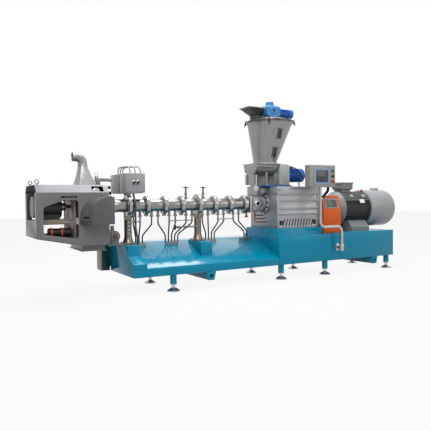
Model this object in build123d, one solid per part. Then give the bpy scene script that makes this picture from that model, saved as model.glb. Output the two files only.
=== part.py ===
from build123d import *
import math
import os

# Twin-screw cooking extruder: base, barrel, gearbox, main motor, feeder, operator panel and die-face cutter.
# Millimetres. While modelling, x runs from the base's die end, y from the barrel's centre plane
# and z from the floor.

# Shared clearances and helpers' values
running_fit = 0.08
thrust_gap = 0.4
seat_gap = 0.2
cut_overrun = 20.0
quarter_turn = 90
full_turn = 360

# Base weldment
base_length = 4250.0
base_width = 840.0
base_underside = 200.0
skirt_height = 100.0
deck_ridge_y = 140.0
deck_ridge_height = 560.0
drive_box_start = 2050.0
drive_box_top = 590.0
plinth_setback = 40.0
plinth_height = 92.0

# Pedestals on the sloping deck
pedestal_front_y = -240.0
end_pedestal_length = 165.0
end_pedestal_step_rise = 56.0
end_pedestal_step_drop = 128.0
middle_pedestal_length = 160.0

# Legs and levelling feet
leg_places_x = (516.0, 2119.0, 2900.0, 4154.0)
leg_inset = 60.0
leg_radius = 40.0
leg_bottom = 92.0
pad_radius = 79.0
pad_rim_height = 12.0
pad_cone_height = 46.0
pad_neck_radius = 24.0
foot_nut_radius = 32.0
foot_nut_height = 16.0
foot_stem_radius = 18.0

# Lifting beams across the underside
lifting_beam_places_x = (1010.0, 3843.0)
lifting_beam_top_width = 124.0
lifting_beam_bottom_width = 76.0
lifting_beam_height = 104.0
lifting_bore_radius = 23.0
lifting_bore_drop = 54.0

# Barrel, clamps and supports
barrel_height = 1025.0
barrel_radius = 78.0
barrel_start = -92.0
first_clamp_x = 89.0
clamp_pitch = 238.0
clamp_count = 8
support_clamp_steps = (0, 4)
section_gap = 2.0
clamp_radius = 115.0
clamp_width = 60.0
clamp_bevel = 13.0
clamp_split = 6.0
clamp_ear_width = 56.0
clamp_ear_length = 40.0
clamp_ear_drop = 20.0
support_clamp_radius = 135.0
support_clamp_width = 50.0
support_clamp_bevel = 8.0
column_foot_length = 150.0
column_foot_width = 190.0
column_foot_thickness = 14.0
column_flare_radius = 72.0
column_flare_share = 0.43
column_radius = 46.0
column_neck_share = 0.45
saddle_width = 150.0
saddle_height = 62.0
saddle_rise = 26.0

# Die head
die_face_x = -235.0
die_flange_radius = 108.0
die_flange_width = 36.0
die_body_radius = 84.0
die_plate_radius = 100.0
die_plate_width = 30.0

# Feed block and gearbox adapter
feed_block_start = 1790.0
feed_block_end = 2010.0
feed_block_size = 215.0
feed_block_chamfer = 10.0
feed_flange_width = 28.0
feed_flange_size = 246.0
feed_port_radius = 24.0
feed_port_depth = 26.0
adapter_rim_radius = 125.0
adapter_rim_width = 32.0
adapter_neck_radius = 104.0
adapter_flange_radius = 150.0
adapter_flange_width = 28.0

# Gearbox
gearbox_start = 2095.0
gearbox_end = 2837.0
gearbox_width = 640.0
gearbox_core_width = 612.0
gearbox_body_rise = 114.0
gearbox_lid_thickness = 117.0
gearbox_end_flange = 26.0
rib_low_drop = 133.0
rib_middle_drop = 55.0
rib_high_rise = 54.0
rib_rise = 16.0
rib_slope = 20.0
louvre_count = 11
louvre_width = 20.0
louvre_depth = 12.0
louvre_tilt = 14
louvre_rise = 22.0
louvre_length = 102.0
louvre_margin = 120.0
pocket_size = 62.0
pocket_depth = 46.0
pocket_inset = 46.0
lid_bevel = 10.0
lid_overhang = 6.0

# Coupling guard
guard_width = 280.0

# Main motor
motor_axis_rise = 337.0
motor_shield_start = 3330.0
motor_body_start = 3430.0
motor_body_end = 3950.0
motor_core_radius = 236.0
motor_fin_radius = 262.0
motor_fin_count = 48
motor_fin_width = 7.0
motor_fin_root = 10.0
motor_shield_nose_radius = 158.0
motor_foot_start = 3490.0
motor_foot_end = 3850.0
motor_foot_reach = 305.0
motor_rail_height = 34.0
motor_foot_lip = 26.0
motor_foot_inner = 120.0
motor_foot_crown = 205.0
motor_foot_top_drop = 163.0
cowl_end = 4490.0
cowl_radius = 285.0
cowl_rounding = 62.0
cowl_groove_radii = (90.0, 140.0, 190.0)
cowl_groove_width = 20.0
cowl_groove_depth = 10.0
cowl_stub_x = 4285.0
cowl_stub_radius = 66.0
cowl_stub_rise = 317.0

# Main motor terminal box
terminal_start = 3475.0
terminal_end = 3705.0
terminal_width = 220.0
terminal_flare = 26.0
terminal_neck_rise = 305.0
terminal_case_height = 74.0
terminal_lid_height = 22.0
terminal_lid_lip = 8.0

# Operator console on the base
console_start = 2860.0
console_end = 3185.0
console_front_y = -390.0
console_back_y = -152.0
console_knee_rise = 310.0
console_lean_height = 225.0
console_lean = 50.0
console_screen_width = 236.0
console_screen_height = 146.0
console_screen_thickness = 10.0
console_screen_recess = 6.0

# Feeder stand and trough
stand_start = 2022.0
stand_end = 2470.0
stand_width = 340.0
stand_thickness = 20.0
stand_saddle_places_x = (2080.0, 2230.0)
stand_saddle_length = 24.0
stand_saddle_width = 210.0
stand_saddle_wrap = 51.0
trough_start = 1870.0
trough_end = 2268.0
trough_axis_rise = 269.0
trough_radius = 134.0
trough_side_rise = 30.0
trough_flange_width = 372.0
trough_flange_thickness = 10.0
trough_end_flange = 14.0
trough_end_lip = 14.0

# Feed throat with its vent pot
throat_x = 1937.0
throat_block_length = 130.0
throat_block_width = 150.0
throat_block_height = 129.5
throat_tube_radius = 56.0
vent_pot_x = 1775.0
vent_pot_y = -150.0
vent_pot_radius = 70.0
vent_pot_rise = 15.0
vent_pot_height = 119.0
vent_pot_lid = 12.0
vent_pot_lip = 6.0
vent_bar_radius = 13.0
vent_bar_rise = 75.0

# Hopper
hopper_bottom_x = 2125.0
hopper_bottom_radius = 160.0
hopper_bottom_flange = 18.0
hopper_flange_thickness = 15.0
hopper_top_x = 2212.0
hopper_top_radius = 317.0
hopper_height = 555.0
hopper_wall = 4.0
hopper_rim_lip = 18.0
hopper_rim_thickness = 18.0
window_places_shares = (0.25, 0.70)
window_width = 66.0
window_length = 150.0
window_stand_off = 12.0
window_turn = -91

# Hopper lid and inlet funnel
lid_rim_thickness = 12.0
lid_skirt_radius = 300.0
lid_skirt_rise = 20.0
lid_neck_radius = 130.0
lid_rise = 72.0
lid_wall = 6.0
funnel_x = 1998.0
funnel_y = 40.0
funnel_throat = 112.0
funnel_top_x = 1945.0
funnel_mouth = 262.0
funnel_throat_height = 81.0
funnel_mouth_height = 108.0
funnel_wall = 4.0

# Agitator drive on the lid
agitator_flange_radius = 112.0
agitator_flange_thickness = 16.0
agitator_start = 2098.0
agitator_end = 2334.0
agitator_width = 190.0
agitator_body_rise = 157.0
agitator_bevel = 24.0
agitator_cap_radius = 58.0
agitator_cap_height = 60.0
agitator_cap_rounding = 20.0
agitator_motor_end = 2590.0
agitator_motor_rise = 69.0
agitator_motor_radius = 56.0
agitator_motor_fin_radius = 64.0
agitator_motor_cowl = 70.0
agitator_motor_flange = 18.0

# Feeder drive box and motor
drive_box_x_end = 2445.0
drive_case_width = 300.0
drive_case_height = 294.0
drive_case_bevel = 10.0
feed_motor_end = 2765.0
feed_motor_rise = 150.0
feed_motor_radius = 88.0
feed_motor_fin_radius = 100.0
feed_motor_flange = 24.0
feed_motor_cowl = 84.0
feed_motor_box_length = 110.0
feed_motor_box_width = 100.0
feed_motor_box_rise = 130.0
feed_lead_radius = 8.0
feed_lead_bend = 36.0
feed_lead_stand_off = 80.0
feed_lead_start_x = 2550.0
feed_lead_far_x = 2688.0
feed_lead_foot_x = 2625.0
feed_lead_start_drop = 26.0
feed_lead_far_drop = 6.0
feed_lead_ankle_rise = 54.0
small_fin_count = 24
small_fin_width = 6.0
small_fin_root = 6.0

# Control box over the die end
control_start = 30.0
control_end = 280.0
control_front_y = -99.0
control_front_depth = 205.0
control_neck_depth = 44.0
control_neck_inset = 14.0
control_rear_depth = 286.0
control_stand_height = 20.0
control_height = 231.0
control_plate_thickness = 8.0
control_plate_margin = 20.0
control_saddle_width = 120.0
control_saddle_drop = 26.0
knob_places_x = (138.0, 190.0)
knob_rise = 122.0
knob_radius = 17.0
knob_depth = 20.0
knob_grip_width = 9.0
knob_grip_length = 44.0
knob_grip_depth = 14.0
conduit_radius = 8.0
conduit_rise = 86.0
conduit_bend = 62.0
conduit_start_x = 62.0
conduit_start_pitch = 30.0
conduit_start_y = 250.0
conduit_end_x = 112.0
conduit_end_pitch = 66.0
conduit_end_y = -40.0
conduit_count = 3
drop_conduit_x = 146.0
drop_conduit_y = -58.0
drop_conduit_foot_y = -168.0
drop_conduit_radius = 12.0
drop_conduit_bend = 24.0
drop_conduit_side_y = -112.0
drop_conduit_shoulder_rise = 39.0
drop_conduit_elbow_drop = 37.0
drop_conduit_knee_rise = 200.0
drop_conduit_ankle_rise = 88.0

# Barrel valves
valve_places_x = (876.0, 1128.0)
valve_base_radius = 20.0
valve_base_rise = 101.0
valve_body_radius = 13.0
valve_nut_radius = 20.0
valve_neck_height = 26.0
valve_nut_height = 22.0
valve_bonnet_height = 62.0
valve_stem_radius = 6.0
valve_stem_height = 26.0
handle_hub_radius = 14.0
handle_hub_height = 18.0
handle_length = 92.0
handle_width = 16.0
handle_thickness = 10.0

# Hand valve on a pipe beside the middle column
hand_valve_x = 706.0
hand_valve_y = -30.0
hand_valve_rise = 182.0
hand_wheel_radius = 32.0
hand_wheel_thickness = 12.0
hand_pipe_radius = 10.0
hand_nut_radius = 17.0
hand_nut_length = 34.0
hand_nut_places_shares = (0.10, 0.42, 0.80)

# Hoses from the barrel to the deck
hose_radius = 9.0
connector_radius = 17.0
connector_drop = 66.0
connector_nut_radius = 23.0
connector_nut_height = 22.0
gland_places_x = (262.0, 706.0, 1272.0, 1840.0)
gland_length = 170.0
gland_near_y = 60.0
gland_far_y = 112.0
gland_rise = 8.0
hose_land_pitch = 44.0
hose_start_shares = (0.30, 0.66)
hose_knee_share = 0.28
hose_ankle_share = 0.72
hose_bend = 70.0
hose_bend_limit_share = 0.215

# Pipes under the feed block
oil_pipe_radius = 8.0
oil_pipe_bend = 40.0
oil_pipe_places_y = (-70.0, -20.0, 40.0)
oil_pipe_low_drop = 255.0
oil_pipe_pitch = 44.0
oil_pipe_rise_x = (1890.0, 1930.0, 1970.0)
brass_x = 1804.0
brass_radius = 13.0
brass_drop = 40.0
brass_stem_radius = 24.0
brass_stem_drop = 26.0

# Small pump beside the die-end column
pump_plate_start = -190.0
pump_plate_end = 4.0
pump_plate_front_y = -110.0
pump_plate_back_y = 120.0
pump_plate_thickness = 12.0
pump_x = -106.0
pump_axis_rise = 108.0
pump_front_y = -92.0
pump_back_y = 96.0
pump_radius = 66.0
pump_cover_radius = 50.0
pump_cover_depth = 14.0
pump_hub_radius = 20.0
pump_hub_depth = 10.0
pump_foot_width = 100.0
pump_cap_radius = 22.0
pump_cap_rise = 122.0

# Operator panel on its swinging arm
arm_pivot_x = 3075.0
arm_pivot_y = -520.0
arm_radius = 21.0
arm_bottom = 336.0
arm_cross_height = 690.0
arm_pole_x = 2680.0
arm_bend = 84.0
arm_collar_radius = 32.0
arm_collar_height = 14.0
pivot_sleeve_radius = 32.0
pivot_sleeve_low = 348.0
pivot_sleeve_high = 428.0
pivot_flange_radius = 52.0
pivot_flange_thickness = 16.0
pivot_stub_radius = 24.0
panel_conduit_radius = 19.0
panel_conduit_offset = 141.0
panel_conduit_straight = 50.0
panel_conduit_drop = 175.0
panel_conduit_bend = 70.0
panel_width = 450.0
panel_depth = 110.0
panel_bottom = 1240.0
panel_top = 1540.0
panel_rounding = 8.0
bezel_width = 282.0
bezel_height = 232.0
bezel_thickness = 8.0
bezel_shift = -22.0
screen_width = 214.0
screen_height = 158.0
screen_rise = 4.0
button_radius = 15.0
button_depth = 22.0
button_inset = 46.0
button_pitch = 72.0
stop_button_radius = 21.0

# Cutter housing
cutter_start = -1025.0
cutter_end = -245.0
cutter_width = 670.0
cutter_top_rise = 240.0
cutter_roof_height = 85.0
cutter_top_width = 500.0
cutter_bottom_drop = 425.0
cutter_keel_drop = 91.0
cutter_keel_x = -570.0
cutter_sheet = 6.0
cutter_window_left = -955.0
cutter_window_right = -590.0
cutter_window_rise = 73.0
cutter_window_slant = 74.0
cutter_window_crown_x = -735.0
cutter_window_sill_slant = 60.0
cutter_window_sill = 76.0
cutter_window_corner = 34.0
cutter_slot_left = -775.0
cutter_slot_right = -600.0
cutter_slot_rise = 24.0
cutter_slot_height = 18.0
end_opening_width = 490.0
end_opening_drop = 145.0
die_window_radius = 128.0
roof_opening_left = -430.0
roof_opening_right = -300.0
roof_opening_low_share = 0.12
roof_opening_high_share = 0.80
eye_inset = 34.0
eye_spread = 400.0
eye_radius = 20.0
eye_wire_radius = 5.0
eye_neck_radius = 8.0
eye_neck_height = 14.0

# Cutter hood, chute, exhaust and roof cylinder
hood_back_left = -575.0
hood_front_left = -492.0
hood_drop = 195.0
hood_height = 300.0
hood_front_y = -520.0
hood_round_share = 0.78
hood_wall = 4.0
hood_slot_length = 92.0
hood_slot_height = 16.0
hood_slot_rise = 66.0
chute_start = -530.0
chute_end = -285.0
chute_width = 540.0
chute_height = 70.0
chute_lip = 16.0
chute_lip_thickness = 8.0
exhaust_base_length = 196.0
exhaust_base_width = 290.0
exhaust_x = -428.0
exhaust_neck_x = -446.0
exhaust_neck_radius = 52.0
exhaust_cone_height = 237.0
exhaust_corner = 9.0
exhaust_wall = 3.0
exhaust_rise = 91.0
exhaust_bend = 80.0
exhaust_mouth_x = -562.0
roof_cylinder_start = -318.0
roof_cylinder_end = -112.0
roof_cylinder_radius = 28.0
roof_cylinder_rise = 73.0
roof_cylinder_y = -60.0
roof_cylinder_cap_width = 26.0
roof_cylinder_cap_size = 64.0
roof_bracket_start = -310.0
roof_bracket_end = -264.0
roof_bracket_width = 40.0

# Cutter drive inside the housing
cutter_motor_start = -1008.0
cutter_motor_end = -712.0
cutter_motor_radius = 104.0
cutter_motor_fin_radius = 118.0
cutter_motor_cowl = 92.0
cutter_motor_flange = 20.0
cutter_motor_flange_radius = 126.0
carriage_start = -990.0
carriage_end = -640.0
carriage_width = 260.0
carriage_drop = 139.0
carriage_thickness = 18.0
motor_pad_width = 150.0
rail_radius = 16.0
rail_spread = 300.0
rail_drop = 38.0
bearing_plate_start = -606.0
bearing_plate_end = -584.0
bearing_plate_width = 420.0
bearing_plate_rise = 125.0
bearing_boss_radius = 62.0
bearing_boss_length = 46.0
shaft_radius = 19.0
coupling_radius = 44.0
coupling_start = -700.0
coupling_end = -650.0
knife_plane = -262.0
knife_hub_radius = 46.0
knife_hub_length = 40.0
knife_count = 4
knife_reach = 96.0
knife_width = 26.0
knife_thickness = 6.0
air_tube_start = -880.0
air_tube_end = -640.0
air_tube_radius = 50.0
air_tube_y = -170.0
air_tube_drop = 283.0
air_tube_ring_places_x = (-850.0, -740.0)
air_tube_ring_width = 16.0
air_tube_ring_lip = 7.0
air_tube_hub_radius = 18.0
air_tube_hub_length = 16.0
air_tube_post_width = 60.0

# Post and arm that the cutter swings on
post_start = -110.0
post_end = 0.0
post_front_y = 440.0
post_back_y = 630.0
post_drop = 335.0
post_bracket_length = 150.0
post_bracket_rise = 50.0
post_bracket_height = 250.0
pin_radius = 30.0
pin_overhang = 8.0
sleeve_radius = 52.0
sleeve_rise = 107.0
arm_plate_low_drop = 285.0
arm_plate_high_rise = 46.0
arm_plate_thickness = 26.0
arm_plate_near_x = -262.0
arm_plate_far_x = -470.0
arm_pad_thickness = 16.0

# Worked-out places
half_base = base_width / 2
skirt_top = base_underside + skirt_height
deck_slope = (deck_ridge_height - skirt_top) / (deck_ridge_y + half_base)
clamp_places_x = [first_clamp_x + clamp_pitch * step for step in range(clamp_count)]
support_places_x = [clamp_places_x[step] for step in support_clamp_steps]
plinth_top = drive_box_top + plinth_height
end_pedestal_step_low = skirt_top + end_pedestal_step_rise
end_pedestal_step_high = deck_ridge_height - end_pedestal_step_drop
valve_base_top = barrel_height + valve_base_rise
valve_nut_low = valve_base_top + valve_neck_height
valve_nut_high = valve_nut_low + valve_nut_height
valve_shoulder = valve_nut_high + valve_bonnet_height
valve_stem_top = valve_shoulder + valve_stem_height
support_clamp_top = barrel_height + support_clamp_radius
control_bottom = support_clamp_top + control_stand_height
control_top = control_bottom + control_height
knob_height = control_bottom + knob_rise
barrel_top = barrel_height + barrel_radius
drop_conduit_shoulder = barrel_top + drop_conduit_shoulder_rise
drop_conduit_elbow = barrel_top - drop_conduit_elbow_drop
drop_conduit_knee = deck_ridge_height + drop_conduit_knee_rise
drop_conduit_ankle = deck_ridge_height + drop_conduit_ankle_rise
pump_height = deck_ridge_height + pump_axis_rise
pump_cap_top = pump_height + pump_cap_rise
gearbox_body_top = barrel_height + gearbox_body_rise
gearbox_top = gearbox_body_top + gearbox_lid_thickness
louvre_low = plinth_top + louvre_rise
louvre_high = louvre_low + louvre_length
motor_height = drive_box_top + motor_axis_rise
motor_foot_top = motor_height - motor_foot_top_drop
cowl_stub_top = motor_height + cowl_stub_rise
terminal_neck_top = motor_height + terminal_neck_rise
terminal_lid_bottom = terminal_neck_top + terminal_case_height
terminal_top = terminal_lid_bottom + terminal_lid_height
console_knee = drive_box_top + console_knee_rise
console_top = console_knee + console_lean_height
stand_top = gearbox_top + stand_thickness
trough_axis_height = stand_top + trough_axis_rise
trough_top = trough_axis_height + trough_side_rise
trough_bottom = trough_axis_height - trough_radius
stand_saddle_top = trough_bottom + stand_saddle_wrap
feed_block_top = barrel_height + feed_block_size / 2
throat_block_top = feed_block_top + throat_block_height
vent_pot_low = throat_block_top + vent_pot_rise
vent_pot_high = vent_pot_low + vent_pot_height
vent_bar_height = vent_pot_low + vent_bar_rise
hopper_bottom = trough_top + hopper_flange_thickness
hopper_top = hopper_bottom + hopper_height
lid_seat = hopper_top + hopper_rim_thickness
lid_top = lid_seat + lid_rise
funnel_knee = lid_seat + funnel_throat_height
funnel_top = funnel_knee + funnel_mouth_height
agitator_body_top = lid_top + agitator_body_rise
agitator_cap_top = agitator_body_top + agitator_cap_height
agitator_motor_height = lid_top + agitator_motor_rise
drive_case_top = stand_top + drive_case_height
feed_motor_height = stand_top + feed_motor_rise
feed_motor_box_top = feed_motor_height + feed_motor_box_rise
cutter_top = barrel_height + cutter_top_rise
cutter_shoulder = cutter_top - cutter_roof_height
cutter_bottom = barrel_height - cutter_bottom_drop
cutter_bottom_start = cutter_bottom + cutter_keel_drop
cutter_window_top = barrel_height + cutter_window_rise
cutter_window_top_left = cutter_window_top - cutter_window_slant
cutter_window_bottom_right = cutter_bottom + cutter_window_sill
cutter_window_bottom_left = cutter_window_bottom_right + cutter_window_sill_slant
cutter_slot_low = cutter_window_top + cutter_slot_rise
cutter_slot_high = cutter_slot_low + cutter_slot_height
end_opening_low = barrel_height - end_opening_drop
hood_low = barrel_height - hood_drop
hood_high = hood_low + hood_height
chute_bottom = cutter_bottom - chute_height
exhaust_neck_height = cutter_top + exhaust_cone_height
roof_cylinder_height = cutter_top + roof_cylinder_rise
carriage_top = barrel_height - carriage_drop
rail_height = carriage_top - rail_drop
bearing_plate_top = barrel_height + bearing_plate_rise
air_tube_height = barrel_height - air_tube_drop
post_top = barrel_height - post_drop
post_bracket_low = base_underside + post_bracket_rise
post_bracket_high = post_bracket_low + post_bracket_height
sleeve_top = barrel_height + sleeve_rise
pin_top = sleeve_top + pin_overhang
arm_plate_heights = (barrel_height - arm_plate_low_drop, barrel_height + arm_plate_high_rise)
rib_heights = (barrel_height - rib_low_drop, barrel_height - rib_middle_drop, barrel_height + rib_high_rise)
oil_pipe_lowest = barrel_height - oil_pipe_low_drop
oil_pipe_heights = [oil_pipe_lowest + oil_pipe_pitch * step for step in range(len(oil_pipe_rise_x))]
half_cutter = cutter_width / 2
hinge_x = (post_start + post_end) / 2
hinge_y = (post_front_y + post_back_y) / 2
pump_seat = deck_ridge_height + pump_plate_thickness


def block(x_range, y_range, z_range):
    """A box between pairs of coordinates."""
    ranges = (x_range, y_range, z_range)
    middles = [(low + high) / 2 for low, high in ranges]
    sizes = [high - low for low, high in ranges]
    return Pos(*middles) * Box(*sizes)


def bar_x(start, end, y, z, radius):
    return Pos((start + end) / 2, y, z) * Rot(0, quarter_turn, 0) * Cylinder(radius, end - start)


def bar_y(start, end, x, z, radius):
    return Pos(x, (start + end) / 2, z) * Rot(quarter_turn, 0, 0) * Cylinder(radius, end - start)


def bar_z(start, end, x, y, radius):
    return Pos(x, y, (start + end) / 2) * Cylinder(radius, end - start)


def outline(*points):
    return make_face(Polyline(*points, close=True))


def along_x(face, start, end):
    """A face drawn in (y, z), carried from one x to another."""
    placed = Plane(origin=(start, 0, 0), x_dir=(0, 1, 0), z_dir=(1, 0, 0)) * face
    return extrude(placed, amount=end - start, dir=(1, 0, 0))


def along_y(face, start, end):
    """A face drawn in (x, z), carried from one y to another."""
    placed = Plane(origin=(0, start, 0), x_dir=(1, 0, 0), z_dir=(0, -1, 0)) * face
    return extrude(placed, amount=end - start, dir=(0, 1, 0))


def along_z(face, start, end):
    """A face drawn in (x, y), carried from one z to another."""
    return extrude(Pos(0, 0, start) * face, amount=end - start, dir=(0, 0, 1))


def turned_x(face, y, z):
    """A face drawn in (x, radius), turned about a line along x."""
    drawn = Plane(origin=(0, 0, 0), x_dir=(1, 0, 0), z_dir=(0, -1, 0)) * face
    return Pos(0, y, z) * revolve(drawn, axis=Axis.X)


def turned_z(face, x, y):
    """A face drawn in (radius, z), turned about an upright line."""
    drawn = Plane(origin=(0, 0, 0), x_dir=(1, 0, 0), z_dir=(0, -1, 0)) * face
    return Pos(x, y, 0) * revolve(drawn, axis=Axis.Z)


def tube(points, radius, bends):
    """A round rod along straight runs joined by arcs."""
    path = FilletPolyline(*points, radius=bends)
    start = Plane(origin=path @ 0, z_dir=path % 0)
    return sweep(start * Circle(radius), path=path)


def group(solids):
    """Like pieces that share a node, kept as separate solids."""
    return Compound([solid for item in solids for solid in item.solids()])


def deck_height(y):
    return skirt_top + deck_slope * (y + half_base)


# Base

def base_low_frame():
    section = outline(
        (-half_base, base_underside),
        (-half_base, skirt_top),
        (deck_ridge_y, deck_ridge_height),
        (half_base, deck_ridge_height),
        (half_base, base_underside),
    )
    return along_x(section, 0, drive_box_start)


def base_pedestals():
    end_section = outline(
        (-half_base, skirt_top),
        (-half_base, end_pedestal_step_low),
        (pedestal_front_y, end_pedestal_step_high),
        (pedestal_front_y, deck_ridge_height),
        (deck_ridge_y, deck_ridge_height),
    )
    middle_section = outline(
        (pedestal_front_y, deck_height(pedestal_front_y)),
        (pedestal_front_y, deck_ridge_height),
        (deck_ridge_y, deck_ridge_height),
    )
    middle = support_places_x[1]
    half_length = middle_pedestal_length / 2
    return group([
        along_x(end_section, 0, end_pedestal_length),
        along_x(middle_section, middle - half_length, middle + half_length),
    ])


def base_drive_box():
    box = block((drive_box_start, base_length), (-half_base, half_base), (base_underside, drive_box_top))
    plinth_edge = half_base - plinth_setback
    plinth = block((drive_box_start, gearbox_end), (-plinth_edge, plinth_edge), (drive_box_top, plinth_top))
    return box + plinth


def leg_places():
    return [(x, side * (half_base - leg_inset)) for x in leg_places_x for side in (-1, 1)]


def base_legs():
    return group(bar_z(leg_bottom, base_underside, x, y, leg_radius) for x, y in leg_places())


def levelling_feet():
    nut_low = leg_bottom - foot_nut_height
    profile = outline(
        (0, 0),
        (pad_radius, 0),
        (pad_radius, pad_rim_height),
        (pad_neck_radius, pad_cone_height),
        (foot_stem_radius, pad_cone_height),
        (foot_stem_radius, nut_low),
        (foot_nut_radius, nut_low),
        (foot_nut_radius, leg_bottom),
        (0, leg_bottom),
    )
    return group(turned_z(profile, x, y) for x, y in leg_places())


def lifting_beams():
    beams = []
    low = base_underside - lifting_beam_height
    for x in lifting_beam_places_x:
        section = outline(
            (x - lifting_beam_top_width / 2, base_underside),
            (x - lifting_beam_bottom_width / 2, low),
            (x + lifting_beam_bottom_width / 2, low),
            (x + lifting_beam_top_width / 2, base_underside),
        )
        beam = along_y(section, -half_base, half_base)
        height = base_underside - lifting_bore_drop
        bore = bar_y(-half_base - cut_overrun, half_base + cut_overrun, x, height, lifting_bore_radius)
        beams.append(beam - bore)
    return group(beams)


# Barrel

def barrel_sections():
    """Cooking sections end to end, with a gasket's gap inside each clamp."""
    starts = [barrel_start] + [x + section_gap / 2 for x in clamp_places_x]
    ends = [x - section_gap / 2 for x in clamp_places_x] + [feed_block_start]
    return group(bar_x(a, b, 0, barrel_height, barrel_radius) for a, b in zip(starts, ends))


def clamp_ring(x, radius, width, bevel):
    half = width / 2
    bore = barrel_radius + seat_gap
    profile = outline(
        (x - half, bore),
        (x - half, radius - bevel),
        (x - half + bevel, radius),
        (x + half - bevel, radius),
        (x + half, radius - bevel),
        (x + half, bore),
    )
    return turned_x(profile, 0, barrel_height)


def split_clamp(x):
    """A hoop with two bolt ears under a split."""
    ring = clamp_ring(x, clamp_radius, clamp_width, clamp_bevel)
    length = (x - clamp_ear_length / 2, x + clamp_ear_length / 2)
    low = barrel_height - clamp_radius - clamp_ear_drop
    middle = barrel_height - (barrel_radius + clamp_radius) / 2
    ears = block(length, (-clamp_ear_width / 2, clamp_ear_width / 2), (low, middle))
    split = block(
        (x - clamp_width, x + clamp_width),
        (-clamp_split / 2, clamp_split / 2),
        (low - cut_overrun, barrel_height - barrel_radius + cut_overrun),
    )
    return ring + ears - split


def barrel_clamps():
    rings = []
    for step, x in enumerate(clamp_places_x):
        if step in support_clamp_steps:
            rings.append(clamp_ring(x, support_clamp_radius, support_clamp_width, support_clamp_bevel))
        else:
            rings.append(split_clamp(x))
    return group(rings)


def support_clamp_seat(x):
    """The round that a saddle leaves free for a support clamp."""
    reach = support_clamp_width / 2 + cut_overrun
    return bar_x(x - reach, x + reach, 0, barrel_height, support_clamp_radius + seat_gap)


def support_column(x):
    """A waisted pillar on a foot plate, with a saddle under the clamp."""
    low = deck_ridge_height
    foot_top = low + column_foot_thickness
    saddle_top = barrel_height - support_clamp_radius + saddle_rise
    saddle_low = saddle_top - saddle_height
    flare_height = (saddle_low - foot_top) * column_flare_share
    flare_top = foot_top + flare_height
    half = column_foot_length / 2
    plate = block((x - half, x + half), (-column_foot_width / 2, column_foot_width / 2), (low, foot_top))
    neck_radius = column_radius + (column_flare_radius - column_radius) * column_neck_share ** 2
    flare = ThreePointArc(
        (column_flare_radius, foot_top),
        (neck_radius, foot_top + flare_height * column_neck_share),
        (column_radius, flare_top),
    )
    sides = Polyline(
        (column_radius, flare_top),
        (column_radius, saddle_low),
        (0, saddle_low),
        (0, foot_top),
        (column_flare_radius, foot_top),
    )
    pillar = turned_z(make_face([flare, sides]), x, 0)
    reach = support_clamp_width / 2
    saddle = block((x - reach, x + reach), (-saddle_width / 2, saddle_width / 2), (saddle_low, saddle_top))
    return plate + pillar + (saddle - support_clamp_seat(x))


def support_columns():
    return group(support_column(x) for x in support_places_x)


def die_head():
    plate_end = die_face_x + die_plate_width
    flange_start = barrel_start - die_flange_width
    profile = outline(
        (die_face_x, 0),
        (die_face_x, die_plate_radius),
        (plate_end, die_plate_radius),
        (plate_end, die_body_radius),
        (flange_start, die_body_radius),
        (flange_start, die_flange_radius),
        (barrel_start, die_flange_radius),
        (barrel_start, 0),
    )
    return turned_x(profile, 0, barrel_height)


def feed_flange_low():
    return barrel_height - feed_flange_size / 2


def feed_block():
    half = feed_block_size / 2
    low, high = barrel_height - half, barrel_height + half
    body = block((feed_block_start, feed_block_end), (-half, half), (low, high))
    body = chamfer(body.edges().filter_by(Axis.X), feed_block_chamfer)
    reach = feed_flange_size / 2
    flange = block(
        (feed_block_start, feed_block_start + feed_flange_width),
        (-reach, reach),
        (feed_flange_low(), barrel_height + half),
    )
    middle = (feed_block_start + feed_flange_width + feed_block_end) / 2
    port = bar_y(-half - cut_overrun, -half + feed_port_depth, middle, barrel_height, feed_port_radius)
    return body + flange - port


def gearbox_adapter():
    rim_end = feed_block_end + adapter_rim_width
    flange_start = gearbox_start - adapter_flange_width
    profile = outline(
        (feed_block_end, 0),
        (feed_block_end, adapter_rim_radius),
        (rim_end, adapter_rim_radius),
        (rim_end, adapter_neck_radius),
        (flange_start, adapter_neck_radius),
        (flange_start, adapter_flange_radius),
        (gearbox_start, adapter_flange_radius),
        (gearbox_start, 0),
    )
    return turned_x(profile, 0, barrel_height)


# Gearbox and main motor

def gearbox_side(side):
    """One ribbed side of the gearbox, from bottom to top, in (y, z)."""
    core, rib = side * gearbox_core_width / 2, side * gearbox_width / 2
    points = [(core, plinth_top)]
    for height in rib_heights:
        points += [
            (core, height - rib_rise - rib_slope),
            (rib, height - rib_rise),
            (rib, height),
            (core, height),
        ]
    return points + [(core, gearbox_body_top)]


def gearbox_housing():
    """Ribbed casting with a band of slanted louvres between two pockets low on each side."""
    section = outline(*gearbox_side(-1), *reversed(gearbox_side(1)))
    body = along_x(section, gearbox_start, gearbox_end)
    half = gearbox_width / 2
    for start in (gearbox_start, gearbox_end - gearbox_end_flange):
        body += block((start, start + gearbox_end_flange), (-half, half), (plinth_top, gearbox_body_top))
    first = gearbox_start + louvre_margin
    pitch = (gearbox_end - gearbox_start - louvre_margin * 2) / (louvre_count - 1)
    middle_height = (louvre_low + louvre_high) / 2
    cuts = []
    for side in (-1, 1):
        face = side * gearbox_core_width / 2
        for step in range(louvre_count):
            slat = Box(louvre_width, louvre_depth * 2, louvre_high - louvre_low)
            cuts.append(Pos(first + pitch * step, face, middle_height) * Rot(0, louvre_tilt, 0) * slat)
        for x in (gearbox_start + pocket_inset, gearbox_end - pocket_inset - pocket_size):
            low = middle_height - pocket_size / 2
            reach = sorted((face + side * cut_overrun, face - side * pocket_depth))
            cuts.append(block((x, x + pocket_size), reach, (low, low + pocket_size)))
    return body - cuts


def gearbox_lid():
    half = gearbox_width / 2 + lid_overhang
    slab = block((gearbox_start, gearbox_end), (-half, half), (gearbox_body_top, gearbox_top))
    return chamfer(slab.faces().sort_by(Axis.Z)[-1].edges(), lid_bevel)


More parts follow.
